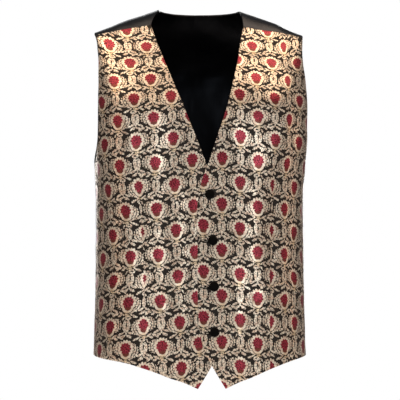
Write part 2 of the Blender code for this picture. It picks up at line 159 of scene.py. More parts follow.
# The fronts part by this much on each side of their shared form where they lap
LAP_LIFT = 0.00135
LAP_FULL = 0.028
LAP_END = 0.066

# Soft folds. Panel, distance round from the centre and z at the top, the same at the
# bottom, half width, rise. The first rows are the frame's own, the later ones are finer
FOLD_END = 0.30
FOLDS = (
    ("front_right", 0.078, -0.245, 0.078, -0.480, 0.022, 0.0024),
    ("front_right", 0.030, -0.265, 0.024, -0.530, 0.016, -0.0018),
    ("front_right", 0.062, -0.470, 0.108, -0.600, 0.020, 0.0024),
    ("front_right", 0.190, -0.270, 0.175, -0.430, 0.018, -0.0022),
    ("front_right", 0.165, -0.215, 0.085, -0.195, 0.024, -0.0022),
    ("front_right", 0.113, -0.270, 0.103, -0.455, 0.009, -0.0014),
    ("front_left", 0.070, -0.245, 0.068, -0.420, 0.028, 0.0022),
    ("front_left", 0.050, -0.470, 0.048, -0.610, 0.018, 0.0024),
    ("front_left", 0.195, -0.270, 0.180, -0.420, 0.018, -0.0022),
    ("front_left", 0.160, -0.205, 0.080, -0.190, 0.024, -0.0020),
    ("front_left", 0.113, -0.265, 0.103, -0.450, 0.009, -0.0014),
    ("back_right", 0.080, -0.180, 0.070, -0.520, 0.024, 0.0030),
    ("back_right", 0.125, -0.260, 0.120, -0.540, 0.020, -0.0028),
    ("back_right", 0.030, -0.300, 0.035, -0.560, 0.018, -0.0020),
    ("back_left", 0.074, -0.200, 0.082, -0.500, 0.024, 0.0030),
    ("back_left", 0.120, -0.240, 0.128, -0.550, 0.020, -0.0028),
    ("back_left", 0.034, -0.330, 0.028, -0.565, 0.018, -0.0020),
    ("front_left", 0.055, -0.300, 0.096, -0.322, 0.007, 0.0009),
    ("front_left", 0.040, -0.377, 0.088, -0.366, 0.006, 0.0007),
    ("front_left", 0.038, -0.452, 0.074, -0.470, 0.008, 0.0009),
    ("front_left", 0.036, -0.527, 0.082, -0.556, 0.009, 0.0010),
    ("front_left", 0.180, -0.352, 0.136, -0.366, 0.008, 0.0012),
    ("front_left", 0.186, -0.384, 0.150, -0.392, 0.006, 0.0008),
    ("front_left", 0.150, -0.150, 0.118, -0.215, 0.010, 0.0012),
    ("front_left", 0.096, -0.500, 0.104, -0.580, 0.012, -0.0012),
    ("front_left", 0.142, -0.470, 0.150, -0.565, 0.014, 0.0013),
    ("front_right", 0.052, -0.296, 0.100, -0.330, 0.008, 0.0010),
    ("front_right", 0.050, -0.384, 0.092, -0.372, 0.006, 0.0008),
    ("front_right", 0.048, -0.450, 0.080, -0.438, 0.007, 0.0008),
    ("front_right", 0.182, -0.345, 0.132, -0.362, 0.009, 0.0013),
    ("front_right", 0.188, -0.375, 0.146, -0.381, 0.006, 0.0009),
    ("front_right", 0.154, -0.145, 0.116, -0.225, 0.011, 0.0013),
    ("front_right", 0.150, -0.480, 0.160, -0.566, 0.013, 0.0012),
    ("back_right", 0.006, -0.350, 0.060, -0.372, 0.008, 0.0011),
    ("back_right", 0.190, -0.352, 0.118, -0.384, 0.009, 0.0014),
    ("back_right", 0.180, -0.398, 0.132, -0.405, 0.006, 0.0009),
    ("back_right", 0.010, -0.090, 0.070, -0.112, 0.012, 0.0010),
    ("back_right", 0.150, -0.120, 0.110, -0.240, 0.013, 0.0014),
    ("back_right", 0.095, -0.470, 0.102, -0.572, 0.010, 0.0013),
    ("back_left", 0.008, -0.372, 0.072, -0.350, 0.009, 0.0012),
    ("back_left", 0.186, -0.340, 0.124, -0.377, 0.008, 0.0013),
    ("back_left", 0.178, -0.386, 0.140, -0.400, 0.007, 0.0010),
    ("back_left", 0.014, -0.104, 0.064, -0.094, 0.011, 0.0009),
    ("back_left", 0.154, -0.130, 0.106, -0.225, 0.012, 0.0013),
    ("back_left", 0.088, -0.455, 0.080, -0.570, 0.011, 0.0012))

QUARTER = np.linspace(0.0, math.pi / 2, 91)
LEVEL_ROOT = np.sqrt(-SECTIONS[:, 0])


class Face(IntEnum):
    """A face of the figure."""

    FRONT = 1
    BACK = -1


class Side(IntEnum):
    """A side of the wearer, as the sign of its x."""

    LEFT = 1
    RIGHT = -1


class Slot(str, Enum):
    """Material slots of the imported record."""

    BROCADE = "floral_brocade"
    SATIN = "black_satin"
    LINING = "black_lining_satin"
    BUTTON = "button_cloth"


def smooth(keys: np.ndarray, values: np.ndarray, at: Any) -> np.ndarray:
    """Cubic interpolation through a short table.

    Args:
        keys: Rising keys of the table.
        values: The value at each key.
        at: Where to read it, one number or many.

    Returns:
        The value at each place.
    """
    at = np.clip(at, keys[0], keys[-1])
    slopes = np.gradient(values, keys)
    i = np.clip(np.searchsorted(keys, at) - 1, 0, len(keys) - 2)
    span = keys[i + 1] - keys[i]
    u = (at - keys[i]) / span
    low = (1 + 2 * u) * (1 - u) ** 2 * values[i] + u * (1 - u) ** 2 * span * slopes[i]
    high = u * u * (3 - 2 * u) * values[i + 1] + u * u * (u - 1) * span * slopes[i + 1]
    return low + high


def smooth_step(u: Any) -> np.ndarray:
    """An even rise from 0 to 1 as u goes from 0 to 1."""
    u = np.clip(u, 0.0, 1.0)
    return u * u * (3 - 2 * u)


def lengths(points: Any) -> np.ndarray:
    """Running length along a list of points."""
    steps = np.linalg.norm(np.diff(np.asarray(points), axis=0), axis=1)
    return np.concatenate([[0.0], np.cumsum(steps)])


def resampled(table: np.ndarray, count: int) -> np.ndarray:
    """A smooth curve through a table of two columns.

    Args:
        table: The places that the curve passes through.
        count: How many evenly spaced rows to return.

    Returns:
        The rows, two columns each.
    """
    run = lengths(table)
    at = np.linspace(0.0, run[-1], count)
    return np.stack([smooth(run, table[:, 0], at), smooth(run, table[:, 1], at)], axis=1)


class Figure:
    """The form that the garment fills, read by share round it and root down it.

    share runs from 0 at the middle of a face to 1 at the side and past 1 round on to the
    other face. root is the square root of the drop of a level, and a negative root lies on
    the other face, across the shoulder ridge.
    """

    def sections(self, face: np.ndarray, root: np.ndarray) -> tuple[np.ndarray, ...]:
        """Half of a section on one face, from the middle out.

        Args:
            face: The face of each place.
            root: The root of each place, not negative.

        Returns:
            x, y and running length, a row for each place.
        """
        front = face == Face.FRONT
        half = smooth(LEVEL_ROOT, SECTIONS[:, 1], root)
        ahead = smooth(LEVEL_ROOT, SECTIONS[:, 2], root)
        behind = smooth(LEVEL_ROOT, SECTIONS[:, 3], root)
        square_ahead = smooth(LEVEL_ROOT, SECTIONS[:, 4], root)
        square_behind = smooth(LEVEL_ROOT, SECTIONS[:, 5], root)
        depth = np.where(front, ahead, behind)[:, None]
        power = 2 / np.where(front, square_ahead, square_behind)[:, None]
        x = half[:, None] * np.sin(QUARTER)[None] ** power
        y = depth * np.maximum(np.cos(QUARTER), 0.0)[None] ** power
        step = np.hypot(np.diff(x, axis=1), np.diff(y, axis=1))
        run = np.concatenate([np.zeros((len(x), 1)), np.cumsum(step, axis=1)], axis=1)
        return x, y, run

    def section(self, face: int, root: float) -> tuple[np.ndarray, ...]:
        """The same for one place: x, y and running length."""
        x, y, run = self.sections(np.array([face]), np.array([root]))
        return x[0], y[0], run[0]

    def ridge_scale(self, x: Any) -> np.ndarray:
        """How much the levels above the chest are stretched at x."""
        ridge = smooth(RIDGE[:, 0], RIDGE[:, 1], np.abs(x))
        return (ridge - CHEST_LEVEL) / -CHEST_LEVEL

    def root_of(self, x: float, z: float) -> float:
        """Root of the level that passes through a place seen from in front."""
        level = z
        if z > CHEST_LEVEL:
            level = CHEST_LEVEL + (z - CHEST_LEVEL) / float(self.ridge_scale(x))
        return math.sqrt(max(-level, 0.0))

    def points(self, face: int, share: Any, root: Any) -> np.ndarray:
        """Points of the form.

        Args:
            face: The face that the shares are measured on.
            share: Share of each place.
            root: Root of each place.

        Returns:
            The points, in the shape of share with three columns added.
        """
        share, root = np.asarray(share, dtype=float), np.asarray(root, dtype=float)
        shape = share.shape
        share, root = share.ravel(), root.ravel()
        facing = np.where(root < 0, -face, face)
        root = np.abs(root)
        near = self.sections(facing, root)
        far = self.sections(-facing, root)
        along = np.abs(share) * near[2][:, -1]
        past = along - near[2][:, -1]
        made = np.empty((len(share), 3))
        for i in range(len(share)):
            table, at, sign = near, along[i], -facing[i]
            if past[i] > 0:
                table, at, sign = far, far[2][i, -1] - past[i], facing[i]
            made[i, 0] = math.copysign(np.interp(at, table[2][i], table[0][i]), share[i])
            made[i, 1] = sign * np.interp(at, table[2][i], table[1][i])
        level = -root * root
        tilted = CHEST_LEVEL + (level - CHEST_LEVEL) * self.ridge_scale(made[:, 0])
        made[:, 2] = np.where(level <= CHEST_LEVEL, level, tilted)
        return made.reshape(*shape, 3)

    def share_at_x(self, face: int, x: float, root: float) -> float:
        """Share of the place on a level that has this x."""
        xs, _, run = self.section(face, root)
        return math.copysign(np.interp(abs(x), xs, run) / run[-1], x)

    def share_at_y(self, face: int, y: float, root: float) -> float:
        """Share of the place on a level that is this far ahead or behind."""
        _, ys, run = self.section(face, root)
        return float(np.interp(abs(y), ys[::-1], run[::-1]) / run[-1])

    def seen_from_front(self, face: int, x: float, z: float) -> tuple[float, float]:
        """Share and root of a place given as it is seen from in front."""
        root = self.root_of(x, z)
        return self.share_at_x(face, x, root), root


FIGURE = Figure()


class Edge:
    """An edge of a panel that can be read at any part of its length."""

    def __init__(self, face: int, places: list, corner: int = 0, held_at: float = 0.0) -> None:
        """Measure the edge.

        Args:
            face: Face of the panel.
            places: Share and root of each place along the edge.
            corner: Place that a row of the grid has to end at.
            held_at: Part of the length that this row has.
        """
        self.places = np.array(places)
        run = lengths(FIGURE.points(face, self.places[:, 0], self.places[:, 1]))
        self.part = run / run[-1]
        if corner:
            self.part = np.interp(self.part, [0.0, self.part[corner], 1.0], [0.0, held_at, 1.0])

    def at(self, part: Any) -> np.ndarray:
        """Share and root at a part of the length."""
        share = np.interp(part, self.part, self.places[:, 0])
        return np.stack([share, np.interp(part, self.part, self.places[:, 1])], axis=-1)


def feed(tree: bpy.types.NodeTree, node: bpy.types.Node, feeds: dict) -> None:
    """Set or link the inputs of a node.

    Args:
        tree: Node tree of the material.
        node: The node.
        feeds: Input name or number, and the value, the output socket or the node whose
            first output goes there.
    """
    for key, value in feeds.items():
        if isinstance(value, bpy.types.Node):
            value = value.outputs[0]
        if isinstance(value, bpy.types.NodeSocket):
            tree.links.new(value, node.inputs[key])
        else:
            node.inputs[key].default_value = value


def add_node(tree: bpy.types.NodeTree, kind: str, feeds: dict | None = None,
             **settings: Any) -> bpy.types.Node:
    """Add one shader node with its settings and links.

    Args:
        tree: Node tree of the material.
        kind: Blender's name of the node type, without the words ShaderNode.
        feeds: What goes into its inputs, as for feed.
        settings: Attributes of the node.

    Returns:
        The new node.
    """
    made = tree.nodes.new("ShaderNode" + kind)
    for key, value in settings.items():
        setattr(made, key, value)
    feed(tree, made, feeds or {})
    return made


def srgb(code: str, alpha: float = 1.0) -> tuple[float, float, float, float]:
    """Linear colour of an sRGB hex value."""
    parts = [int(code[i:i + 2], 16) / 255 for i in (1, 3, 5)]
    line = [c / 12.92 if c <= 0.04045 else ((c + 0.055) / 1.055) ** 2.4 for c in parts]
    return line[0], line[1], line[2], alpha


def new_material(name: str) -> tuple[bpy.types.Material, bpy.types.NodeTree, bpy.types.Node]:
    """An empty material, its tree and its surface shader."""
    mat = bpy.data.materials.new(name)
    mat.use_nodes = True
    return mat, mat.node_tree, mat.node_tree.nodes["Principled BSDF"]


# What can feed an input: an output socket, or a node for its first output
Feed = bpy.types.Node | bpy.types.NodeSocket

# The repeat of the brocade in millimetres: across, up
REPEAT = (59.0, 73.4)

# Woven leaves about a rose: across, up, half length, half width, tilt in degrees
CRESCENTS = ((-11.3, -4.3, 9.7, 11.4, 0), (11.6, 0.5, 9.6, 10.4, 0))
LEAVES = (
    (-8.6, -15.9, 6.0, 1.3, -24),
    (0.9, -19.0, 3.1, 2.6, 0), (-2.1, -24.5, 5.5, 3.5, 8), (-12.8, -22.8, 5.2, 1.8, 24),
    (6.4, -26.0, 3.6, 1.1, -60), (9.0, -17.6, 6.0, 1.5, 30), (12.4, -20.8, 3.4, 1.8, -25),
    (18.0, -17.6, 3.2, 2.2, -12), (22.6, -20.4, 3.0, 1.7, -35), (-7.4, -20.2, 3.2, 1.1, 40),
    (-25.6, -17.5, 2.4, 1.2, 30), (16.5, -26.5, 2.6, 1.2, 20))

# Shapes of the bud that stands between two roses, about its own middle line
BUD = (
    (3.3, -2.2, 3.0, 8.0, -8), (0.0, -7.8, 4.2, 3.2, 0), (2.4, 5.0, 2.6, 3.4, -25),
    (0.0, -12.0, 1.2, 4.0, 0), (7.6, -12.4, 5.4, 1.8, -24), (5.2, -17.6, 5.0, 2.0, -30))

# The ring's lower end, which runs down into the knot
DROP = (0, -8.6, 9.4, 8.4, 0)

# The lower end of the rose itself
HEEL = (0, -7.8, 5.8, 5.6, 0)

# The warm knot where the leaves meet, and the brown calyx under the rose
KNOT = (0.6, -18.4, 6.5, 5.0, 0)
CALYX = (0, -12.2, 7.0, 4.4, 0)

# Scallops, depth and radius of the rose's rim. Scallops, depth and breadth of its ring
ROSE_RIM = (11, 2.0, 9.7)
RING_RIM = (16, 2.8, 1.3)

# Barbs round the wings, how deep they go, and the line that parts each wing: its distance
# from the rose, half its width and how much the barbs break it, in millimetres
BARBS = 30.0
BARB_DEPTH = 0.16
RIB_AT = 18.4
RIB_HALF = 0.65
RIB_BROKEN = -0.25

# Dark holes left in the leaves: in the loop under the rose, and in the bud
LOOP_HOLE = (-2.6, -24.2, 2.1, 1.0, 0)
BUD_HOLE = (0.0, 0.6, 1.1, 4.4, 0)


@dataclass(frozen=True)
class Brocade:
    """Jacquard brocade, cream and crimson satin floats woven over a near-black ground.

    The floats lie a little above the ground and shine along the thread, so the eye sees a
    soft sheen on the flowers and a flat dark ground between them.
    """

    ground: str = "#120D0B"
    cream: str = "#E6DECE"
    # A warmer, darker tone of the same cream floats, laid on in patches as painted shade
    cream_painted_shade: str = "#C4A48C"
    knot: str = "#D8C29C"
    crimson: str = "#A83C4C"
    crimson_dark: str = "#4E1820"
    calyx: str = "#6A4034"
    thread: float = 0.55
    ring: float = 12.8
    outline: float = 1.5
    vein: float = 0.058

    def distance(self, tree: bpy.types.NodeTree, spot: Feed, shapes: tuple) -> Feed:
        """Square of the distance into the nearest of several ellipses, 1 at its rim.

        It uses dot products alone, because the renderer has no room for as many mappings.

        Args:
            tree: Node tree of the material.
            spot: Place in the repeat in millimetres, with 1 as its third part.
            shapes: Rows of across, up, half length, half width and tilt.

        Returns:
            The least squared distance.
        """
        least = None
        for across, up, long, wide, tilt in shapes:
            turn = math.radians(tilt)
            axes = ((math.cos(turn) / long, math.sin(turn) / long),
                    (-math.sin(turn) / wide, math.cos(turn) / wide))
            reach = []
            for x, y in axes:
                reach.append(add_node(tree, "VectorMath", {
                    0: spot, 1: (x, y, -x * across - y * up)},
                    operation="DOT_PRODUCT").outputs["Value"])
            square = add_node(tree, "Math", {0: reach[0], 1: reach[0]}, operation="MULTIPLY")
            size = add_node(tree, "Math", {0: reach[1], 1: reach[1], 2: square},
                            operation="MULTIPLY_ADD")
            least = size if least is None else add_node(tree, "Math", {0: least, 1: size},
                                                        operation="MINIMUM")
        return least

    def polar(self, tree: bpy.types.NodeTree, spot: Feed) -> tuple[Feed, Feed]:
        """Turn about a rose's centre and distance from it, in millimetres."""
        east, north = (add_node(tree, "VectorMath", {0: spot, 1: axis},
                                operation="DOT_PRODUCT").outputs["Value"]
                       for axis in ((1, 0, 0), (0, 1, 0)))
        turn = add_node(tree, "Math", {0: north, 1: east}, operation="ARCTAN2")
        flat = add_node(tree, "VectorMath", {0: spot, 1: (1, 1, 0)}, operation="MULTIPLY")
        away = add_node(tree, "VectorMath", {0: flat}, operation="LENGTH")
        return turn, away.outputs["Value"]

    def rim(self, tree: bpy.types.NodeTree, spot: Feed, lobes: int, depth: float,
            radius: float) -> Feed:
        """Distance from a rose's centre to a scalloped round rim.

        Args:
            tree: Node tree of the material.
            spot: Place about the rose, in millimetres.
            lobes: Scallops round the rim.
            depth: How far the notches between them go in, in millimetres.
            radius: Radius of the rim, in millimetres.

        Returns:
            The distance, 1 at the rim.
        """
        turn, size = self.polar(tree, spot)
        wave = add_node(tree, "Math", {0: turn, 1: lobes / 2}, operation="MULTIPLY")
        wave = add_node(tree, "Math", {0: wave}, operation="SINE")
        wave = add_node(tree, "Math", {0: wave}, operation="ABSOLUTE")
        reach = add_node(tree, "Math", {0: wave, 1: depth, 2: radius - depth},
                         operation="MULTIPLY_ADD")
        return add_node(tree, "Math", {0: size, 1: reach}, operation="DIVIDE")

    def shapes_of(self, tree: bpy.types.NodeTree, mm: Feed, mirrored: bool) -> dict[str, Feed]:
        """Distances to every woven shape of one of the two lattices.

        Args:
            tree: Node tree of the material.
            mm: Place on the cloth, in millimetres.
            mirrored: Whether this is the half-dropped lattice, which faces the other way.

        Returns:
            Leaves, ring, rose, hole, knot and calyx distances.
        """
        shift = (REPEAT[0] / 2, REPEAT[1] / 2, 0) if mirrored else (0, 0, 0)
        moved = add_node(tree, "VectorMath", {0: mm, 1: shift}, operation="ADD")
        low = (-REPEAT[0] / 2, -REPEAT[1] / 2, -1)
        high = (REPEAT[0] / 2, REPEAT[1] / 2, 1)
        cell = add_node(tree, "VectorMath", {0: moved, 1: high, 2: low}, operation="WRAP")
        spot = add_node(tree, "VectorMath", {0: cell, 1: (-1 if mirrored else 1, 1, 0),
                                             2: (0, 0, 1)}, operation="MULTIPLY_ADD")
        half = add_node(tree, "VectorMath", {0: spot, 1: (0, 1, 1), 2: (REPEAT[0] / 2, 0, 0)},
                        operation="MULTIPLY_ADD")
        folded = add_node(tree, "VectorMath", {0: spot}, operation="ABSOLUTE")
        bud = add_node(tree, "VectorMath", {0: folded, 1: (-1, 0, 0), 2: half},
                       operation="MULTIPLY_ADD")
        leaves = add_node(tree, "Math", {0: self.distance(tree, spot, LEAVES),
                                         1: self.distance(tree, bud, BUD)}, operation="MINIMUM")
        # Barbs along the wings, spaced round the rose
        turn, out = self.polar(tree, spot)
        barb = add_node(tree, "Math", {0: turn, 1: BARBS}, operation="MULTIPLY")
        barb = add_node(tree, "Math", {0: barb}, operation="SINE")
        wings = add_node(tree, "Math", {0: barb, 1: BARB_DEPTH,
                                        2: self.distance(tree, spot, CRESCENTS)},
                         operation="MULTIPLY_ADD")
        # A dark line parts each wing into two long strokes
        rib = add_node(tree, "Math", {0: out, 1: RIB_AT}, operation="SUBTRACT")
        rib = add_node(tree, "Math", {0: rib}, operation="ABSOLUTE")
        rib = add_node(tree, "Math", {0: barb, 1: RIB_BROKEN, 2: rib}, operation="MULTIPLY_ADD")
        rib = add_node(tree, "Math", {0: rib, 1: RIB_HALF}, operation="LESS_THAN")
        wings = add_node(tree, "Math", {0: rib, 1: 2.0, 2: wings}, operation="MULTIPLY_ADD")
        leaves = add_node(tree, "Math", {0: wings, 1: leaves}, operation="MINIMUM")
        hole = add_node(tree, "Math", {0: self.distance(tree, spot, (LOOP_HOLE,)),
                                       1: self.distance(tree, bud, (BUD_HOLE,))},
                        operation="MINIMUM")
        drop = add_node(tree, "Math", {0: self.distance(tree, spot, (DROP,))}, operation="SQRT")
        ring = add_node(tree, "Math", {0: self.rim(tree, spot, *RING_RIM[:2],
                                                   self.ring + RING_RIM[2]), 1: drop},
                        operation="MINIMUM")
        rose = add_node(tree, "Math", {0: self.rim(tree, spot, *ROSE_RIM),
                                       1: self.distance(tree, spot, (HEEL,))},
                        operation="MINIMUM")
        return {"leaves": leaves, "ring": ring, "hole": hole, "rose": rose,
                "knot": self.distance(tree, spot, (KNOT,)),
                "calyx": self.distance(tree, spot, (CALYX,))}

    def build(self) -> bpy.types.Material:
        """Weave the cloth as a material on the piece's own cloth map."""
        mat, tree, shader = new_material("brocade_cream_and_crimson")
        cloth = add_node(tree, "UVMap", uv_map="cloth")
        mm = add_node(tree, "VectorMath", {0: cloth, "Scale": 1000.0}, operation="SCALE")
        dart = add_node(tree, "Attribute", attribute_name="dart")
        dart = add_node(tree, "SeparateXYZ", {0: dart.outputs["Vector"]})
        past = add_node(tree, "Math", {0: dart, 1: 0.0}, operation="GREATER_THAN")
        taken = add_node(tree, "Math", {0: past, 1: dart.outputs[1]}, operation="MULTIPLY")
        taken = add_node(tree, "CombineXYZ", {0: taken})
        mm = add_node(tree, "VectorMath", {0: mm, 1: taken}, operation="ADD")
        # The weave steps from thread to thread, which gives the flowers their stepped rims
        grain = add_node(tree, "TexNoise", {"Vector": mm, "Scale": 0.42, "Detail": 1.0})
        off = add_node(tree, "VectorMath", {0: grain.outputs["Color"], 1: (0.5, 0.5, 0.5)},
                       operation="SUBTRACT")
        off = add_node(tree, "VectorMath", {0: off, "Scale": 2.4}, operation="SCALE")
        bent = add_node(tree, "VectorMath", {0: mm, 1: off}, operation="ADD")
        stepped = add_node(tree, "VectorMath", {0: bent, 1: (self.thread, self.thread, 1)},
                           operation="SNAP")
        flat = add_node(tree, "VectorMath", {0: stepped, 1: (1, 1, 0)}, operation="MULTIPLY")
        upright = self.shapes_of(tree, flat, False)
        dropped = self.shapes_of(tree, flat, True)
        near = {key: add_node(tree, "Math", {0: upright[key], 1: dropped[key]},
                              operation="MINIMUM") for key in upright}
        leaf = add_node(tree, "Math", {0: near["leaves"], 1: 1.0}, operation="LESS_THAN")
        clear = add_node(tree, "Math", {0: near["ring"], 1: 1.0 + self.outline / self.ring},
                         operation="GREATER_THAN")
        leaf = add_node(tree, "Math", {0: leaf, 1: clear}, operation="MULTIPLY")
        whole = add_node(tree, "Math", {0: near["hole"], 1: 1.0}, operation="GREATER_THAN")
        leaf = add_node(tree, "Math", {0: leaf, 1: whole}, operation="MULTIPLY")
        # Dark veins part the leaves into strokes 4 mm long
        cells = add_node(tree, "TexVoronoi", {"Vector": flat, "Scale": 0.24},
                         feature="DISTANCE_TO_EDGE", voronoi_dimensions="2D")
        veined = add_node(tree, "Math", {0: cells, 1: self.vein}, operation="GREATER_THAN")
        leaf = add_node(tree, "Math", {0: leaf, 1: veined}, operation="MULTIPLY")
        ring = add_node(tree, "Math", {0: near["ring"], 1: 1.0}, operation="LESS_THAN")
        cream = add_node(tree, "Math", {0: leaf, 1: ring}, operation="MAXIMUM")
        rose = add_node(tree, "Math", {0: near["rose"], 1: 1.0}, operation="LESS_THAN")
        knot = add_node(tree, "MapRange", {0: near["knot"], 1: 1.1, 2: 0.5, 3: 0.0, 4: 0.6})
        calyx = add_node(tree, "MapRange", {0: near["calyx"], 1: 1.6, 2: 0.5, 3: 0.0, 4: 0.85})
        # Specks of uneven dye 2 mm wide, and patches about 6 mm wide of painted shade and uneven
        # float length
        shade_patch_noise = add_node(tree, "TexNoise", {"Vector": flat, "Scale": 0.16, "Detail": 2.0})
        speck = add_node(tree, "TexNoise", {"Vector": flat, "Scale": 0.55, "Detail": 1.0})
        # Where this is high the cream floats take their warmer tone, a painted shade in random
        # patches
        painted_shade_patches = add_node(tree, "MapRange", {0: shade_patch_noise, 1: 0.42, 2: 0.68, 3: 0.0, 4: 0.75})
        spots = add_node(tree, "MapRange", {0: speck, 1: 0.44, 2: 0.56, 3: 0.0, 4: 1.0})
        pale_with_painted_shade = add_node(tree, "Mix", {0: painted_shade_patches, 6: srgb(self.cream), 7: srgb(self.cream_painted_shade)},
                        data_type="RGBA")
        pale_with_painted_shade = add_node(tree, "Mix", {0: knot, 6: pale_with_painted_shade.outputs[2], 7: srgb(self.knot)},
                        data_type="RGBA")
        red = add_node(tree, "Mix", {0: spots, 6: srgb(self.crimson),
                                     7: srgb(self.crimson_dark)}, data_type="RGBA")
        red = add_node(tree, "Mix", {0: calyx, 6: red.outputs[2], 7: srgb(self.calyx)},
                       data_type="RGBA")
        colour = add_node(tree, "Mix", {0: cream, 6: srgb(self.ground), 7: pale_with_painted_shade.outputs[2]},
                          data_type="RGBA")
        colour = add_node(tree, "Mix", {0: rose, 6: colour.outputs[2], 7: red.outputs[2]},
                          data_type="RGBA")
        gloss = add_node(tree, "MapRange", {0: cream, 3: 0.60, 4: 0.29})
        # Floats throw the light back in their own colour, nearly as a metal does
        shine = add_node(tree, "MapRange", {0: cream, 3: 0.0, 4: 0.65})
        # The real floats lie 0.25 mm apart, and are drawn 1 mm apart so that the ribs show
        ribs = add_node(tree, "TexWave", {"Vector": mm, "Scale": 0.32, "Distortion": 0.6},
                        bands_direction="Y")
        raised = add_node(tree, "Math", {0: cream, 1: rose}, operation="MAXIMUM")
        height = add_node(tree, "Math", {0: ribs.outputs["Fac"], 1: 0.30, 2: raised},
                          operation="MULTIPLY_ADD")
        bump = add_node(tree, "Bump", {"Strength": 0.35, "Distance": 0.00018, "Height": height})
        feed(tree, shader, {
            "Base Color": colour.outputs[2], "Roughness": gloss, "Metallic": shine,
            "Normal": bump, "IOR": 1.50, "Specular IOR Level": 0.30, "Sheen Weight": 0.06,
            "Sheen Roughness": 0.45, "Sheen Tint": srgb("#D8A890")})
        return mat


@dataclass(frozen=True)
class Satin:
    """Polyester satin, woven in long warp floats and calendered smooth.

    The floats give a broad soft highlight, and the warp shows as the faintest upright
    streaks: small bumps, and a painted sheen of lighter colour.
    """

    name: str
    colour: str
    # The lighter colour of the upright streaks, a painted sheen
    sheen_streak: str
    roughness: float
    specular: float
    sheen: float
    tint: str

    def build(self) -> bpy.types.Material:
        """Make the satin as a material on object coordinates."""
        mat, tree, shader = new_material(self.name)
        place = add_node(tree, "TexCoord").outputs["Object"]
        # Warp threads 0.2 mm apart are too fine to show; 2 mm streaks of bump and painted sheen
        # stand for them
        drawn = add_node(tree, "Mapping", {"Vector": place, "Scale": (500.0, 500.0, 22.0)})
        warp_and_sheen = add_node(tree, "TexNoise", {"Vector": drawn, "Scale": 1.0, "Detail": 3.0})
        cloud = add_node(tree, "TexNoise", {"Vector": place, "Scale": 26.0, "Detail": 3.0})
        sheen_streaks = add_node(tree, "MapRange", {0: warp_and_sheen, 1: 0.35, 2: 0.70})
        # The lighter streak colour is a painted sheen along the warp
        colour = add_node(tree, "Mix", {0: sheen_streaks, 6: srgb(self.colour), 7: srgb(self.sheen_streak)},
                          data_type="RGBA")
        rough = add_node(tree, "MapRange", {0: cloud, 1: 0.3, 2: 0.7, 3: self.roughness - 0.05,
                                            4: self.roughness + 0.06})
        height = add_node(tree, "Math", {0: cloud, 1: 6.0, 2: warp_and_sheen}, operation="MULTIPLY_ADD")
        bump = add_node(tree, "Bump", {"Strength": 0.25, "Distance": 0.0002, "Height": height})
        # The warp floats run upright, so the highlight spreads round the figure
        round_figure = add_node(tree, "Tangent", direction_type="RADIAL", axis="Z")
        feed(tree, shader, {
            "Base Color": colour.outputs[2], "Roughness": rough, "Normal": bump,
            "Tangent": round_figure, "Anisotropic": 0.45, "IOR": 1.54,
            "Specular IOR Level": self.specular, "Specular Tint": srgb(self.tint),
            "Sheen Weight": self.sheen, "Sheen Roughness": 0.35,
            "Sheen Tint": srgb(self.tint)})
        return mat


@dataclass(frozen=True)
class ButtonCloth:
    """Plain black cloth stretched over a button form, with a visible fine weave."""

    colour: str = "#020202"
    # A shade lighter tone, used where the threads cross
    thread_crossing_tone: str = "#050506"
    thread: float = 0.0006

    def build(self) -> bpy.types.Material:
        """Make the button cloth as a material on object coordinates."""
        mat, tree, shader = new_material("button_cloth_plain_weave")
        place = add_node(tree, "TexCoord").outputs["Object"]
        across = add_node(tree, "TexWave", {"Vector": place, "Scale": 0.314 / self.thread},
                          bands_direction="X")
        up = add_node(tree, "TexWave", {"Vector": place, "Scale": 0.314 / self.thread},
                      bands_direction="Z")
        weave = add_node(tree, "Math", {0: across.outputs["Fac"], 1: up.outputs["Fac"]},
                         operation="MULTIPLY")
        # The cloth is a shade lighter where the threads cross
        colour = add_node(tree, "Mix", {0: weave, 6: srgb(self.colour), 7: srgb(self.thread_crossing_tone)},
                          data_type="RGBA")
        rough = add_node(tree, "MapRange", {0: weave, 3: 0.80, 4: 0.60})
        bump = add_node(tree, "Bump", {"Strength": 0.5, "Distance": 0.0002, "Height": weave})
        feed(tree, shader, {
            "Base Color": colour.outputs[2], "Roughness": rough, "Normal": bump,
            "Specular IOR Level": 0.06, "Sheen Weight": 0.02, "Sheen Roughness": 0.5})
        return mat


@dataclass(frozen=True)
class StudioPaper:
    """Matte white background paper."""

    colour: str = "#F7F7F7"

    def build(self) -> bpy.types.Material:
        """Make the paper, with the faint mottling of its pulp."""
        mat, tree, shader = new_material("studio_paper")
        place = add_node(tree, "TexCoord").outputs["Object"]
        pulp = add_node(tree, "TexNoise", {"Vector": place, "Scale": 40.0})
        tone = add_node(tree, "Mix", {0: pulp, 6: srgb(self.colour), 7: srgb("#FFFFFF")},
                        data_type="RGBA")
        feed(tree, shader, {"Base Color": tone.outputs[2], "Roughness": 0.9})
        return mat


@dataclass
class Wardrobe:
    """The finished materials of the garment, built once."""

    brocade: bpy.types.Material
    satin: bpy.types.Material
    lining: bpy.types.Material
    button: bpy.types.Material


def outward(points: np.ndarray) -> np.ndarray:
    """Unit normals of a grid of points, away from the figure's middle."""
    along = np.gradient(points, axis=1)
    up = np.gradient(points, axis=0)
    normals = np.cross(along, up)
    normals /= np.linalg.norm(normals, axis=2, keepdims=True)
    centre = np.array([0.0, 0.0, CHEST_LEVEL])
    facing = np.sum(normals * (points - centre), axis=2)
    return normals * np.sign(np.median(facing))


def finished(shape: bmesh.types.BMesh, name: str,
             materials: list[bpy.types.Material]) -> bpy.types.Object:
    """Turn a modelled shape into a smooth object at the origin."""
    mesh = bpy.data.meshes.new(name)
    shape.to_mesh(mesh)
    shape.free()
    mesh.shade_smooth()
    for mat in materials:
        mesh.materials.append(mat)
    obj = bpy.data.objects.new(name, mesh)
    bpy.context.scene.collection.objects.link(obj)
    return obj


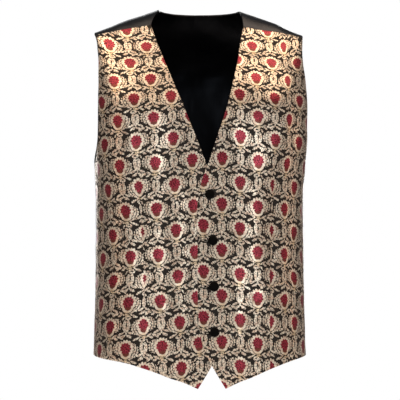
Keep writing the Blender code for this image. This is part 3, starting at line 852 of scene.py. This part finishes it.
def cloth_object(name: str, grids: list[np.ndarray], wall: float,
                 materials: list[bpy.types.Material], cloth_map: np.ndarray | None = None,
                 dart: np.ndarray | None = None) -> bpy.types.Object:
    """Grids of points as one sheet of cloth with its wall and soft turned edges.

    Args:
        name: Name of the piece.
        grids: Grids of points, joined where they meet.
        wall: Thickness of the cloth with its interlining and lining.
        materials: Outer material, then the inner one where it differs.
        cloth_map: Place of each point on the flat cloth, in metres.
        dart: Distance past the dart and what it takes in, in millimetres.

    Returns:
        The new object, at the origin.
    """
    sheet = bmesh.new()
    for points in grids:
        rows, columns = points.shape[0] - 1, points.shape[1] - 1
        made = bmesh.ops.create_grid(sheet, x_segments=columns, y_segments=rows, size=0.5)
        for vertex, point in zip(made["verts"], points.reshape(-1, 3)):
            vertex.co = Vector(point)
    sheet.verts.index_update()
    if cloth_map is not None:
        layer = sheet.loops.layers.uv.new("cloth")
        mark = sheet.verts.layers.float_vector.new("dart")
        spots, marks = cloth_map.reshape(-1, 2), dart.reshape(-1, 2)
        for face in sheet.faces:
            for loop in face.loops:
                loop[layer].uv = spots[loop.vert.index]
        for vertex in sheet.verts:
            vertex[mark] = (*marks[vertex.index], 0.0)
    bmesh.ops.remove_doubles(sheet, verts=sheet.verts, dist=MERGE)
    bmesh.ops.recalc_face_normals(sheet, faces=sheet.faces)
    middle = grids[0][len(grids[0]) // 2, grids[0].shape[1] // 2]
    out = outward(grids[0])[len(grids[0]) // 2, grids[0].shape[1] // 2]
    nearest = min(sheet.faces, key=lambda f: (f.calc_center_median() - Vector(middle)).length)
    if nearest.normal.dot(Vector(out)) < 0:
        bmesh.ops.reverse_faces(sheet, faces=sheet.faces)
    obj = finished(sheet, name, materials)
    solid = obj.modifiers.new("wall", "SOLIDIFY")
    solid.thickness = wall
    solid.offset = 0.0
    solid.material_offset = len(materials) - 1
    edge = obj.modifiers.new("turned edge", "BEVEL")
    edge.width = wall * EDGE_ROUND
    edge.segments = 2
    edge.limit_method = "ANGLE"
    edge.angle_limit = math.radians(EDGE_SHARP)
    return obj


# Unevenness of the cloth: waves to the metre, share of the height
UNEVEN = ((24.0, 1.0), (62.0, 0.28))

# Puckers. The paces say how fast the noise changes along the seam and away from it, the
# seeds keep its uses apart, and the holds are the metres in which a pucker grows to full
PUCKER_END = 3
PUCKER_LEAN = 0.5
PUCKER_LEAST = 0.6
PUCKER_CHANGE = 0.9
LEAN_PACE = 12.0
OUT_PACE = 14.0
SEAM_PACE = 66.0
STRENGTH_PACE = 15.0
CENTRE_SEED = 1.5
OUTER_SEED = 7.5
LEAN_SEED = 2.0
STRENGTH_SEED = 4.0
SEAM_START = 0.4
SEAM_HOLD = 0.008
OUTER_HOLD = 0.005


@dataclass
class Panel:
    """A cloth panel laid over the figure between its four edges."""

    name: str
    side: Side
    face: Face
    columns: int
    rows: int
    ease: float
    underarm_row: int
    wall: float
    unevenness: float = 0.00085
    pucker: float = 0.0
    pucker_reach: float = 0.022

    def rows_up(self, row: Any) -> Any:
        """Part of the panel's height at one of its rows."""
        return 1 - (1 - row / self.rows) ** self.ease

    def armhole(self, face: int) -> list[tuple[float, float]]:
        """Armhole edge of a face from the underarm to the tip, without its two ends."""
        column = 1 if face == Face.FRONT else 2
        rim = SECTIONS[0, 1]
        places = []
        for z, out in resampled(ARMHOLE[:, (0, column)], ARMHOLE_STEPS + 1)[1:-1]:
            root = FIGURE.root_of(rim, z)
            places.append((self.side * FIGURE.share_at_y(face, out, root), root))
        return places

    def side_seam(self) -> list[tuple[float, float]]:
        """Side seam from the hem to the underarm, half a seam gap inside the panel."""
        places = []
        for z in np.linspace(SIDE_HEM, ARMHOLE[0, 0], SIDE_PLACES):
            root = math.sqrt(-z)
            run = FIGURE.section(self.face, root)[2][-1]
            behind = smooth(SIDE_SEAM[:, 0], SIDE_SEAM[:, 1], z)
            share = self.side * (1 + (self.face * behind - SEAM_GAP / 2) / run)
            places.append((share, root))
        return places

    def shoulder_seam(self, neck: tuple[float, float], gap: float) -> list[tuple]:
        """Shoulder seam on the front face from the neck out.

        Args:
            neck: Share and root of its neck end.
            gap: How far it is moved down the front.

        Returns:
            Share and root of each place.
        """
        tip = self.armhole(Face.FRONT)[-SEAM_END_STEPS]
        places = []
        for part in np.linspace(0.0, 1.0, SHOULDER_PLACES):
            left = smooth(SHOULDER_SEAM[:, 0], SHOULDER_SEAM[:, 1], part)
            root = tip[1] + (neck[1] - tip[1]) * left
            share = neck[0] + (tip[0] - neck[0]) * part
            pair = FIGURE.points(Face.FRONT, [share, share], [root, root + ROOT_STEP])
            step = np.linalg.norm(pair[1] - pair[0])
            places.append((share, root + gap * ROOT_STEP / step))
        return places

    def shade_patch_noise(self, inner: Edge, outer: Edge, bottom: Edge, top: Edge) -> np.ndarray:
        """Share and root of every grid point between four edges.

        Args:
            inner: Edge on the centre side, from the bottom up.
            outer: Edge on the side seam side, from the bottom up.
            bottom: Lower edge, from the centre out.
            top: Upper edge, from the centre out.

        Returns:
            A grid of shares and roots.
        """
        up = self.rows_up(np.arange(self.rows + 1))[:, None, None]
        out = (np.arange(self.columns + 1) / self.columns)[None, :, None]
        spots = (1 - out) * inner.at(up[:, 0, 0])[:, None] + out * outer.at(up[:, 0, 0])[:, None]
        spots = spots + (1 - up) * bottom.at(out[0, :, 0])[None]
        spots = spots + up * top.at(out[0, :, 0])[None]
        spots = spots - (1 - up) * ((1 - out) * inner.at(0) + out * outer.at(0))
        return spots - up * ((1 - out) * inner.at(1) + out * outer.at(1))

    def fold_rise(self, places: np.ndarray, z: np.ndarray) -> np.ndarray:
        """Height of the soft folds at every grid point."""
        flat = np.abs(places[..., 1]).ravel()
        run = FIGURE.sections(np.full(flat.shape, self.face), flat)[2][:, -1].reshape(z.shape)
        here = np.stack([np.abs(places[..., 0]) * run, z], axis=-1)
        rise = np.zeros_like(z)
        for panel, top_x, top_z, foot_x, foot_z, half_width, height in FOLDS:
            if panel != self.name:
                continue
            start = np.array([top_x, top_z])
            line = np.array([foot_x, foot_z]) - start
            part = np.clip((here - start) @ line / (line @ line), 0.0, 1.0)
            off = np.linalg.norm(here - start - part[..., None] * line, axis=-1) / half_width
            fade = smooth_step(part / FOLD_END + FOLD_END)
            fade = fade * smooth_step((1 - part) / FOLD_END + FOLD_END)
            rise = rise + height * fade * np.exp(-off * off)
        return rise

    def lap_rise(self, x: np.ndarray) -> np.ndarray:
        """How far a front stands off the shared form where the two lap."""
        if self.face == Face.BACK:
            return np.zeros_like(x)
        return self.side * LAP_LIFT * smooth_step((LAP_END - self.side * x)
                                                  / (LAP_END - LAP_FULL))

    def hand_feel(self, points: np.ndarray) -> np.ndarray:
        """Small unevenness of real cloth, the same on neighbours, so that seams still meet."""
        rise = np.empty(points.shape[:2])
        for index in np.ndindex(points.shape[:2]):
            spot = Vector(points[index])
            rise[index] = sum(part * noise.noise(spot * pace) for pace, part in UNEVEN)
        return rise * self.unevenness

    def pucker_rise(self, points: np.ndarray) -> np.ndarray:
        """Short ripples that the stitching draws in beside the two long edges.

        They match across the centre back seam, and die out at the outer edge, where the
        stiffer front holds the cloth flat.

        Args:
            points: Points of the panel.

        Returns:
            How far each point rises.
        """
        steps = np.linalg.norm(np.diff(points, axis=1), axis=2)
        inner = np.concatenate([np.zeros((len(points), 1)), np.cumsum(steps, axis=1)], axis=1)
        outer = inner[:, -1:] - inner
        rise = np.zeros_like(inner)
        for index in np.ndindex(rise.shape):
            z = points[index][2]
            for away, seed, held in ((inner[index], CENTRE_SEED, 0.0),
                                     (outer[index], OUTER_SEED, OUTER_HOLD)):
                if away < PUCKER_END * self.pucker_reach:
                    lean = noise.noise(Vector((seed, LEAN_SEED, z * LEAN_PACE)))
                    slant = PUCKER_LEAN * away * lean
                    ripple = noise.noise(Vector((seed, away * OUT_PACE,
                                                 (z - slant) * SEAM_PACE)))
                    strength = noise.noise(Vector((seed, STRENGTH_SEED, z * STRENGTH_PACE)))
                    ripple *= PUCKER_LEAST + PUCKER_CHANGE * strength
                    start = min(1.0, SEAM_START + away / SEAM_HOLD)
                    if held:
                        start = min(1.0, away / held)
                    rise[index] += ripple * start * math.exp(-away / self.pucker_reach)
        return rise * self.pucker

    def draped(self, places: np.ndarray) -> np.ndarray:
        """Panel points with folds, lap, unevenness and puckers."""
        points = FIGURE.points(self.face, places[..., 0], places[..., 1])
        rise = self.fold_rise(places, points[..., 2]) + self.lap_rise(points[..., 0])
        rise = rise + self.hand_feel(points)
        if self.pucker:
            rise = rise + self.pucker_rise(points)
        return points + outward(points) * rise[..., None]


# The part of the form that the fronts' cloth is measured on
WAIST_LEVEL = -0.35
WIDEST_SHARE = 1.16
ROOTS_MEASURED = (0.04, 0.80)

# How the repeat lies on the fronts, in millimetres from the middle and up from the waist:
# a rose of each front, how the rows tilt, and what easing takes up at the chest and side
ROSE_LEFT = (21.0, -42.0)
ROSE_RIGHT = (-82.0, -50.0)
CROSS_TILT = 0.083
UP_TILT = 0.038
TILT_FROM = -81.0
CHEST_UP = 150
CHEST_EASE = 0.10
SIDE_TURN = 11.0
SIDE_FROM = 125
SIDE_OVER = 25

# Dart lines: heights, and distance from the middle at each. What they take in, in
# millimetres, and the height at which that begins or ends with the span it grows over
DART_LINES = {
    Side.LEFT: ((-0.435, -0.359, -0.285), (0.1010, 0.1034, 0.1069)),
    Side.RIGHT: ((-0.438, -0.364, -0.293), (0.1008, 0.1044, 0.1106))}
DART_LEFT = 9.5
DART_RIGHT = -14.0
LEFT_TOP = (130, 65)
RIGHT_TOP = (110, 162)
RIGHT_FOOT = (-205, 153)


@dataclass
class FrontPanel(Panel):
    """One brocade front, from its inner edge to the side seam and armhole."""

    edge_table: np.ndarray = None
    flat: tuple[float, float] = (0.27, 0.64)

    def lay(self) -> tuple[np.ndarray, np.ndarray]:
        """Lay the front over the figure.

        Returns:
            Its points, and the share and root of each.
        """
        edge = [FIGURE.seen_from_front(Face.FRONT, x, z)
                for x, z in resampled(self.edge_table, INNER_PLACES)]
        outer = self.side_seam()
        underarm = len(outer) - 1
        outer += self.armhole(Face.FRONT)[:-SEAM_END_STEPS]
        seam = self.shoulder_seam(edge[-1], SEAM_GAP / 2)
        edge.append(seam[0])
        outer.append(seam[-1])
        hem = []
        for part in np.linspace(0.0, 1.0, HEM_PLACES):
            share = edge[0][0] + (outer[0][0] - edge[0][0]) * part
            x = FIGURE.points(Face.FRONT, [share], [edge[0][1]])[0, 0]
            z = smooth(FRONT_HEM[:, 0], FRONT_HEM[:, 1], self.side * (x - CLOSING_X))
            hem.append((share, math.sqrt(-z)))
        places = self.shade_patch_noise(
            Edge(Face.FRONT, edge),
            Edge(Face.FRONT, outer, underarm, self.rows_up(self.underarm_row)),
            Edge(Face.FRONT, hem), Edge(Face.FRONT, seam))
        return self.draped(places), places

    def measured(self, places: np.ndarray) -> tuple[np.ndarray, np.ndarray]:
        """How far each grid point lies across and up the cloth, in millimetres.

        Args:
            places: Share and root of each point.

        Returns:
            Distance round from the middle, and distance up from the waist line.
        """
        waist = math.sqrt(-WAIST_LEVEL)
        shares = np.linspace(-WIDEST_SHARE, WIDEST_SHARE, 94)
        roots = np.linspace(*ROOTS_MEASURED, 140)
        mesh = np.meshgrid(shares, roots)
        spots = FIGURE.points(Face.FRONT, mesh[0], mesh[1])
        steps = np.linalg.norm(np.diff(spots, axis=0), axis=2)
        climb = np.concatenate([np.zeros((1, len(shares))), np.cumsum(steps, axis=0)])
        start = np.array([np.interp(waist, roots, climb[:, i]) for i in range(len(shares))])
        climb = start[None] - climb
        flat = np.abs(places[..., 1]).ravel()
        run = FIGURE.sections(np.full(flat.shape, Face.FRONT), flat)[2][:, -1]
        across = places[..., 0] * run.reshape(places.shape[:2])
        fi = np.interp(places[..., 1], roots, np.arange(len(roots)))
        fj = np.interp(places[..., 0], shares, np.arange(len(shares)))
        i = np.minimum(fi.astype(int), len(roots) - 2)
        j = np.minimum(fj.astype(int), len(shares) - 2)
        a, b = fi - i, fj - j
        up = (climb[i, j] * (1 - a) * (1 - b) + climb[i + 1, j] * a * (1 - b)
              + climb[i, j + 1] * (1 - a) * b + climb[i + 1, j + 1] * a * b)
        return across * 1000, up * 1000

    def cloth_map(self, places: np.ndarray) -> np.ndarray:
        """Place of each point in the repeat, in metres, with roses at whole repeats.

        Args:
            places: Share and root of each point.

        Returns:
            Across and up in the repeat.
        """
        across, up = self.measured(places)
        # The cloth is eased over the chest, so the repeat closes up a little above it
        eased = np.where(up > CHEST_UP, up + (up - CHEST_UP) * CHEST_EASE, up)
        if self.side == Side.LEFT:
            turned = across + SIDE_TURN * smooth_step((across - SIDE_FROM) / SIDE_OVER)
            spot = (turned - ROSE_LEFT[0],
                    eased - ROSE_LEFT[1] + CROSS_TILT * (across - ROSE_LEFT[0]))
        else:
            spot = (across - ROSE_RIGHT[0] + UP_TILT * up + REPEAT[0] / 2,
                    eased - ROSE_RIGHT[1] - CROSS_TILT * (across - TILT_FROM) + REPEAT[1] / 2)
        return np.stack(spot, axis=-1) / 1000

    def dart_map(self, places: np.ndarray, points: np.ndarray) -> np.ndarray:
        """Distance past the dart line and what the dart takes in, in millimetres.

        Args:
            places: Share and root of each point.
            points: The points themselves.

        Returns:
            Two values for each point.
        """
        _, up = self.measured(places)
        x, z = points[..., 0], points[..., 2]
        keys, line = DART_LINES[self.side]
        if self.side == Side.LEFT:
            taken = DART_LEFT * smooth_step((LEFT_TOP[0] - up) / LEFT_TOP[1])
        else:
            taken = (DART_RIGHT * smooth_step((RIGHT_TOP[0] - up) / RIGHT_TOP[1])
                     * smooth_step((up - RIGHT_FOOT[0]) / RIGHT_FOOT[1]))
        slope = (line[2] - line[1]) / (keys[2] - keys[1])
        at = np.interp(z, keys, line) + np.maximum(z - keys[2], 0) * slope
        return np.stack([(self.side * x - at) * 1000, taken], axis=-1)

    def build(self, wardrobe: Wardrobe) -> tuple[bpy.types.Object, np.ndarray, np.ndarray,
                                                 np.ndarray]:
        """Make the front.

        Args:
            wardrobe: The finished materials.

        Returns:
            The piece, its points, its cloth map and its dart map.
        """
        points, places = self.lay()
        spots = self.cloth_map(places)
        darts = self.dart_map(places, points)
        obj = cloth_object(f"{self.name}_cloth", [points], self.wall,
                           [wardrobe.brocade, wardrobe.lining], spots, darts)
        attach(obj, "root")
        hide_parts(self.name)
        return obj, points, spots, darts


@dataclass
class BackPanel(Panel):
    """One half of the satin back, which crosses the shoulder to the seam in front."""

    pucker: float = 0.0014
    nape_row: int = 0
    neck_side: np.ndarray = None
    edge_table: np.ndarray = None
    flat: tuple[float, float] = (0.25, 0.63)

    def lay(self) -> tuple[np.ndarray, np.ndarray]:
        """Lay the half back over the figure.

        Returns:
            Its points, and the share and root of each.
        """
        hem_root = math.sqrt(-BACK_HEM)
        neck_root = FIGURE.root_of(0.0, BACK_NECK[0, 1])
        edge = []
        for root in np.linspace(hem_root, neck_root, CENTRE_PLACES):
            run = FIGURE.section(Face.BACK, root)[2][-1]
            edge.append((self.side * SEAM_GAP / 2 / run, root))
        nape = len(edge) - 1
        for x, z in resampled(BACK_NECK, NECK_PLACES)[1:-1]:
            share, root = FIGURE.seen_from_front(Face.BACK, x, z)
            edge.append((self.side * share, root))
        neck_x = BACK_NECK[-1, 0]
        edge.append((self.side * FIGURE.share_at_x(Face.BACK, neck_x, OFF_RIDGE), 0.0))
        for x, z in self.neck_side:
            share, root = FIGURE.seen_from_front(Face.FRONT, x, z)
            edge.append((self.side * share, -root))
        neck = FIGURE.seen_from_front(Face.FRONT, *self.edge_table[-1])
        seam = [(share, -root) for share, root in self.shoulder_seam(neck, -SEAM_GAP / 2)]
        edge.append(seam[0])
        ahead = self.armhole(Face.FRONT)[:-SEAM_END_STEPS:-1]
        outer = self.side_seam()
        underarm = len(outer) - 1
        outer += self.armhole(Face.BACK) + [(self.side * 1.0, 0.0)]
        outer += [(share, -root) for share, root in ahead] + [seam[-1]]
        hem = []
        for part in np.linspace(0.0, 1.0, BACK_HEM_PLACES):
            share = edge[0][0] + (outer[0][0] - edge[0][0]) * part
            z = BACK_HEM + (SIDE_HEM - BACK_HEM) * smooth_step(part)
            hem.append((share, math.sqrt(-z)))
        places = self.shade_patch_noise(
            Edge(Face.BACK, edge, nape, self.rows_up(self.nape_row)),
            Edge(Face.BACK, outer, underarm, self.rows_up(self.underarm_row)),
            Edge(Face.BACK, hem), Edge(Face.BACK, seam))
        return self.draped(places), places

    def build(self, wardrobe: Wardrobe) -> tuple[bpy.types.Object, np.ndarray]:
        """Make the half back.

        Args:
            wardrobe: The finished materials.

        Returns:
            The piece and its points.
        """
        points, _ = self.lay()
        obj = cloth_object(f"{self.name}_cloth", [points], self.wall, [wardrobe.satin])
        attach(obj, "root")
        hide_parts(self.name)
        return obj, points


@dataclass
class BackLining:
    """The satin lining of the back, one piece from side to side."""

    wall: float = LINING_WALL
    nape_row: int = 0
    flat: tuple[float, float] = (0.50, 0.63)

    def build(self, left: np.ndarray, right: np.ndarray,
              wardrobe: Wardrobe) -> bpy.types.Object:
        """Make the lining inside the back.

        Args:
            left: Points of the left half of the back.
            right: Points of the right half.
            wardrobe: The finished materials.

        Returns:
            The piece.
        """
        inset = BACK_WALL / 2 + LINING_SLACK + self.wall / 2
        halves = [left - outward(left) * inset, right - outward(right) * inset]
        to_nape = slice(0, self.nape_row + 1)
        middle = (halves[0][to_nape, 0] + halves[1][to_nape, 0]) / 2
        for half in halves:
            half[to_nape, 0] = middle
        obj = cloth_object("back_lining_cloth", halves, self.wall, [wardrobe.lining])
        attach(obj, "root")
        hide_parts("back_lining")
        return obj


@dataclass
class Welt:
    """A pocket welt of brocade, cut to match the front that it lies on."""

    name: str
    columns: tuple[int, int]
    step: int
    foot: float = -0.4820
    wall: float = WELT_WALL
    flat: tuple[float, float] = (0.110, 0.023)

    def build(self, points: np.ndarray, spots: np.ndarray, darts: np.ndarray,
              wardrobe: Wardrobe) -> bpy.types.Object:
        """Lay the welt on its front.

        Args:
            points: Points of the front.
            spots: Cloth map of the front.
            darts: Dart map of the front.
            wardrobe: The finished materials.

        Returns:
            The piece.
        """
        first, last = self.columns
        row = int(np.argmin(np.abs(points[::self.step, first, 2] - self.foot))) * self.step
        span = (slice(row, row + self.step + 1), slice(first, last + 1))
        lift = FRONT_WALL / 2 + LAY_GAP + self.wall / 2
        grid = points[span] + outward(points)[span] * lift
        obj = cloth_object(f"{self.name}_cloth", [grid], self.wall,
                           [wardrobe.brocade, wardrobe.lining], spots[span], darts[span])
        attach(obj, "root")
        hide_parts(self.name)
        LOG.info("%s: row %d", obj.name, row)
        return obj


def seat_on(points: np.ndarray, x: float, z: float) -> tuple[np.ndarray, np.ndarray]:
    """A place on a front's outer face.

    Args:
        points: Points of the front.
        x: Where the place is, seen from in front.
        z: Its height.

    Returns:
        The place, a lay gap off the cloth, and the cloth's normal there.
    """
    away = np.hypot(points[..., 0] - x, points[..., 2] - z).ravel()
    near = np.argsort(away)[:SEAT_POINTS]
    normal = outward(points).reshape(-1, 3)[near].mean(axis=0)
    normal /= np.linalg.norm(normal)
    anchor = points.reshape(-1, 3)[near].mean(axis=0)
    slope = normal[0] * (x - anchor[0]) + normal[2] * (z - anchor[2])
    flat = np.array([x, anchor[1] - slope / normal[1], z])
    return flat + normal * (FRONT_WALL / 2 + LAY_GAP), normal


@dataclass
class CoveredButton:
    """A domed button covered with cloth, on a short shank."""

    number: int
    x: float
    z: float
    radius: float = 0.0078
    dome: float = 0.0042
    rim: float = 0.0012
    shank_radius: float = 0.0021
    shank_length: float = 0.0012
    steps: int = 64
    gathers: int = 18

    def build(self, points: np.ndarray, wardrobe: Wardrobe) -> bpy.types.Object:
        """Turn the button and seat it.

        Args:
            points: Points of the front that it sits on.
            wardrobe: The finished materials.

        Returns:
            The piece.
        """
        seat, normal = seat_on(points, self.x, self.z)
        aim = Vector(normal).to_track_quat("Z", "Y").to_matrix().to_4x4()
        rim = self.shank_length + self.rim
        profile = [(0.0, rim + self.dome)]
        for turn in np.linspace(0.12, 1.50, 12):
            profile.append((self.radius * math.sin(turn), rim + self.dome * math.cos(turn)))
        profile += [(self.radius, rim), (self.radius * 0.985, rim - self.rim * 0.5),
                    (self.radius * 0.92, self.shank_length),
                    (self.radius * 0.60, self.shank_length * 0.9),
                    (self.shank_radius, self.shank_length * 0.8), (self.shank_radius, 0.0),
                    (0.0, 0.0)]
        cover = bmesh.new()
        ring = [cover.verts.new((r, 0.0, z)) for r, z in profile]
        line = [cover.edges.new(pair) for pair in zip(ring, ring[1:])]
        bmesh.ops.spin(cover, geom=ring + line, cent=(0, 0, 0), axis=(0, 0, 1),
                       angle=math.tau, steps=self.steps, use_merge=True)
        bmesh.ops.remove_doubles(cover, verts=cover.verts, dist=MERGE)
        bmesh.ops.recalc_face_normals(cover, faces=cover.faces)
        for vertex in cover.verts:
            out = math.hypot(vertex.co.x, vertex.co.y)
            if out > self.radius * 0.8:
                turn = math.atan2(vertex.co.y, vertex.co.x) * self.gathers
                vertex.co *= 1 - 0.010 * (0.5 + 0.5 * math.sin(turn + self.number))
        bmesh.ops.transform(cover, matrix=Matrix.Translation(Vector(seat)) @ aim,
                            verts=cover.verts)
        obj = finished(cover, f"button_{self.number}_cover", [wardrobe.button])
        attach(obj, "root")
        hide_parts(f"button_{self.number}")
        LOG.info("%s: seated at %.4f %.4f %.4f", obj.name, *seat)
        return obj


@dataclass
class Buttonhole:
    """A worked buttonhole: a ring of close upright stitches in black buttonhole twist."""

    number: int
    x: float
    z: float
    length: float = 0.0190
    width: float = 0.0026
    thread: float = 0.00036
    reach: float = 0.00115
    stitches: int = 76
    edge_side: float = 0.0125
    drop: float = 0.0020

    def path(self) -> list[tuple[float, float, float, float]]:
        """Middle of the ring of stitches: x, z and the way out of the ring at each stitch."""
        half = (self.length - self.width) / 2
        straight, bend = 2 * half, math.pi * self.width / 2
        ring = []
        for part in np.linspace(0.0, 2 * (straight + bend), self.stitches, endpoint=False):
            turn = 0 if part < straight + bend else 1
            at = part - turn * (straight + bend)
            sign = -1.0 if turn else 1.0
            if at < straight:
                ring.append((sign * (at - half), sign * self.width / 2, 0.0, sign))
            else:
                angle = math.pi / 2 - (at - straight) / (self.width / 2)
                out = (sign * math.cos(angle), sign * math.sin(angle))
                ring.append((sign * half + out[0] * self.width / 2,
                             out[1] * self.width / 2, *out))
        return ring

    def build(self, points: np.ndarray, wardrobe: Wardrobe) -> bpy.types.Object:
        """Work the stitches on the cloth of the front that laps over.

        Args:
            points: Points of that front.
            wardrobe: The finished materials.

        Returns:
            The piece.
        """
        twist = bmesh.new()
        for x, z, out_x, out_z in self.path():
            seat, normal = seat_on(points, self.x - self.edge_side / 2 + x,
                                   self.z - self.drop + z)
            across = np.array([-normal[1], normal[0], 0.0])
            across /= np.linalg.norm(across)
            aim = Matrix((across, np.cross(normal, across), normal)).transposed().to_4x4()
            made = bmesh.ops.create_icosphere(twist, subdivisions=1, radius=1.0)["verts"]
            turn = Matrix.Rotation(math.atan2(out_z, out_x), 4, "Z")
            size = Matrix.Diagonal((self.reach, self.thread, self.thread, 1.0))
            place = Matrix.Translation(Vector(seat - normal * LAY_GAP / 2))
            bmesh.ops.transform(twist, matrix=place @ aim @ turn @ size, verts=made)
        obj = finished(twist, f"buttonhole_{self.number}_twist", [wardrobe.button])
        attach(obj, "root")
        return obj


# Soft lights: name, place, width and height, watts, where it points, colour
WHITE, WARM, SIDE_WARM = "#FFFFFF", "#FFDDBC", "#FFD4B8"
BODY = (0.0, 0.0, -0.30)
LIGHTS = (
    ("key_above", (-0.10, -1.9, 1.20), (1.9, 1.0), 7.5, BODY, WARM),
    ("top", (0.05, -0.45, 1.60), (1.3, 0.8), 7.0, (0.0, -0.05, -0.05), WARM),
    ("top_left", (1.00, -0.50, 1.35), (1.2, 0.9), 13.0, (0.1, -0.05, -0.1), WARM),
    ("top_right", (-1.05, -0.50, 1.35), (1.2, 0.9), 15.0, (-0.1, -0.05, -0.1), WARM),
    ("strip_middle", (-0.40, -2.87, -0.05), (0.20, 0.9), 6.6, BODY, WHITE),
    ("strip_left", (1.25, -2.60, -0.10), (0.22, 1.0), 8.6, BODY, WHITE),
    ("strip_right", (-1.50, -2.45, -0.10), (0.25, 1.0), 5.4, BODY, WHITE),
    ("side_left", (1.70, -0.55, 0.05), (0.6, 1.4), 2.6, BODY, SIDE_WARM),
    ("side_right", (-1.70, -0.80, 0.05), (0.6, 1.4), 2.4, BODY, SIDE_WARM),
    ("back_left", (0.95, 2.45, 0.10), (0.16, 1.5), 9.0, BODY, WHITE),
    ("back_right", (-0.75, 2.55, 0.20), (0.16, 1.5), 7.0, BODY, WHITE),
    ("back_above", (0.10, 1.60, 1.30), (1.2, 0.25), 5.0, (0.0, 0.05, -0.10), WHITE))


@dataclass
class Studio:
    """A round white paper floor, soft lights and the camera."""

    floor: float = -0.90
    floor_radius: float = 2.0
    floor_steps: int = 96
    azimuth: float = -8.0
    distance: float = 2.7
    frame_width: float = 0.664
    aim: tuple[float, float, float] = (0.00129, -0.00018, -0.31374)

    def lay_floor(self) -> None:
        """Lay the round paper floor, well below the garment, which is held up."""
        paper = bmesh.new()
        bmesh.ops.create_circle(paper, cap_ends=True, segments=self.floor_steps,
                                radius=self.floor_radius)
        bmesh.ops.translate(paper, verts=paper.verts, vec=(0, 0, self.floor))
        bmesh.ops.recalc_face_normals(paper, faces=paper.faces)
        finished(paper, "paper_floor", [StudioPaper().build()])

    def light(self, name: str, place: tuple, size: tuple, power: float, target: tuple,
              warmth: str) -> None:
        """Hang one soft rectangular light.

        Args:
            name: Name of the light.
            place: Where it hangs.
            size: Its width and height.
            power: Its power in watts.
            target: Where it points.
            warmth: Its colour.
        """
        data = bpy.data.lights.new(name, "AREA")
        data.shape = "RECTANGLE"
        data.size, data.size_y = size
        data.energy = power
        data.color = srgb(warmth)[:3]
        obj = bpy.data.objects.new(name, data)
        bpy.context.scene.collection.objects.link(obj)
        aim = (Vector(place) - Vector(target)).to_track_quat("Z", "Y").to_matrix().to_4x4()
        obj.matrix_world = Matrix.Translation(Vector(place)) @ aim

    def camera(self) -> None:
        """Set the camera at the photograph's angle."""
        turn = math.radians(self.azimuth)
        target = Vector(self.aim)
        place = target + self.distance * Vector((math.sin(turn), -math.cos(turn), 0.0))
        data = bpy.data.cameras.new("camera")
        data.sensor_fit = "HORIZONTAL"
        data.angle = 2 * math.atan(self.frame_width / 2 / self.distance)
        obj = bpy.data.objects.new("camera", data)
        bpy.context.scene.collection.objects.link(obj)
        aim = (place - target).to_track_quat("Z", "Y").to_matrix().to_4x4()
        obj.matrix_world = Matrix.Translation(place) @ aim
        bpy.context.scene.camera = obj

    def build(self) -> None:
        """Set up the whole studio."""
        self.lay_floor()
        self.camera()
        for row in LIGHTS:
            self.light(*row)
        self.surround()

    def surround(self) -> None:
        """White all round for the camera, and dimmer for the cloth and the floor."""
        world = bpy.data.worlds.new("studio_air")
        world.use_nodes = True
        tree = world.node_tree
        path = add_node(tree, "LightPath").outputs
        matte = add_node(tree, "Math", {0: path["Is Diffuse Ray"], 1: 0.16, 2: 0.13},
                         operation="MULTIPLY_ADD")
        strength = add_node(tree, "Math", {0: path["Is Camera Ray"], 1: 0.87, 2: matte},
                            operation="MULTIPLY_ADD")
        feed(tree, tree.nodes["Background"], {"Strength": strength,
                                              "Color": srgb("#FFFFFF")})
        bpy.context.scene.world = world
        bpy.context.scene.view_settings.view_transform = "Standard"


# The frame's own grids: columns, rows, row of the underarm, and how much closer the rows
# lie near the top
FRONT_GRID = (22, 32, 15, 1.25)
BACK_GRID = (11, 28, 10, 1.80)
NAPE_ROW = 19
WELT_COLUMNS = (8, 17)

# How much finer than the frame's the grids are here. The satin needs it for its puckers
FINER = 4
SATIN_FINER = 7


def main() -> None:
    """Build the garment piece by piece, then the studio."""
    logging.basicConfig(level=logging.INFO, format="%(message)s")
    wardrobe = Wardrobe(
        brocade=Brocade().build(),
        satin=Satin("satin_black_back", "#07080B", "#0D1015", 0.31, 0.60, 0.05,
                    "#B9C4D6").build(),
        lining=Satin("satin_black_lining", "#010102", "#020203", 0.32, 0.12, 0.0,
                     "#B9C4D6").build(),
        button=ButtonCloth().build())
    fronts = {}
    columns, rows, underarm, ease = FRONT_GRID
    for name, side, table in (("front_left", Side.LEFT, OVER_EDGE),
                              ("front_right", Side.RIGHT, UNDER_EDGE)):
        panel = FrontPanel(name, side, Face.FRONT, columns * FINER, rows * FINER, ease,
                           underarm * FINER, FRONT_WALL, edge_table=table)
        fronts[side] = panel.build(wardrobe)
    for name, side in (("welt_left", Side.LEFT), ("welt_right", Side.RIGHT)):
        _, points, spots, darts = fronts[side]
        ends = (WELT_COLUMNS[0] * FINER, WELT_COLUMNS[1] * FINER)
        Welt(name, ends, FINER).build(points, spots, darts, wardrobe)
    backs = {}
    columns, rows, underarm, ease = BACK_GRID
    for name, side, neck_side, table in (
            ("back_left", Side.LEFT, NECK_SIDE_LEFT, OVER_EDGE),
            ("back_right", Side.RIGHT, NECK_SIDE_RIGHT, UNDER_EDGE)):
        panel = BackPanel(name, side, Face.BACK, columns * SATIN_FINER, rows * SATIN_FINER,
                          ease, underarm * SATIN_FINER, BACK_WALL,
                          nape_row=NAPE_ROW * SATIN_FINER, neck_side=neck_side,
                          edge_table=table)
        backs[side] = panel.build(wardrobe)[1]
    BackLining(nape_row=NAPE_ROW * SATIN_FINER).build(backs[Side.LEFT], backs[Side.RIGHT],
                                                      wardrobe)
    for number, (x, z) in enumerate(BUTTON_PLACES, start=1):
        CoveredButton(number, x, z).build(fronts[Side.LEFT][1], wardrobe)
        Buttonhole(number, x, z).build(fronts[Side.LEFT][1], wardrobe)
    Studio().build()


if __name__ == "__main__":
    main()
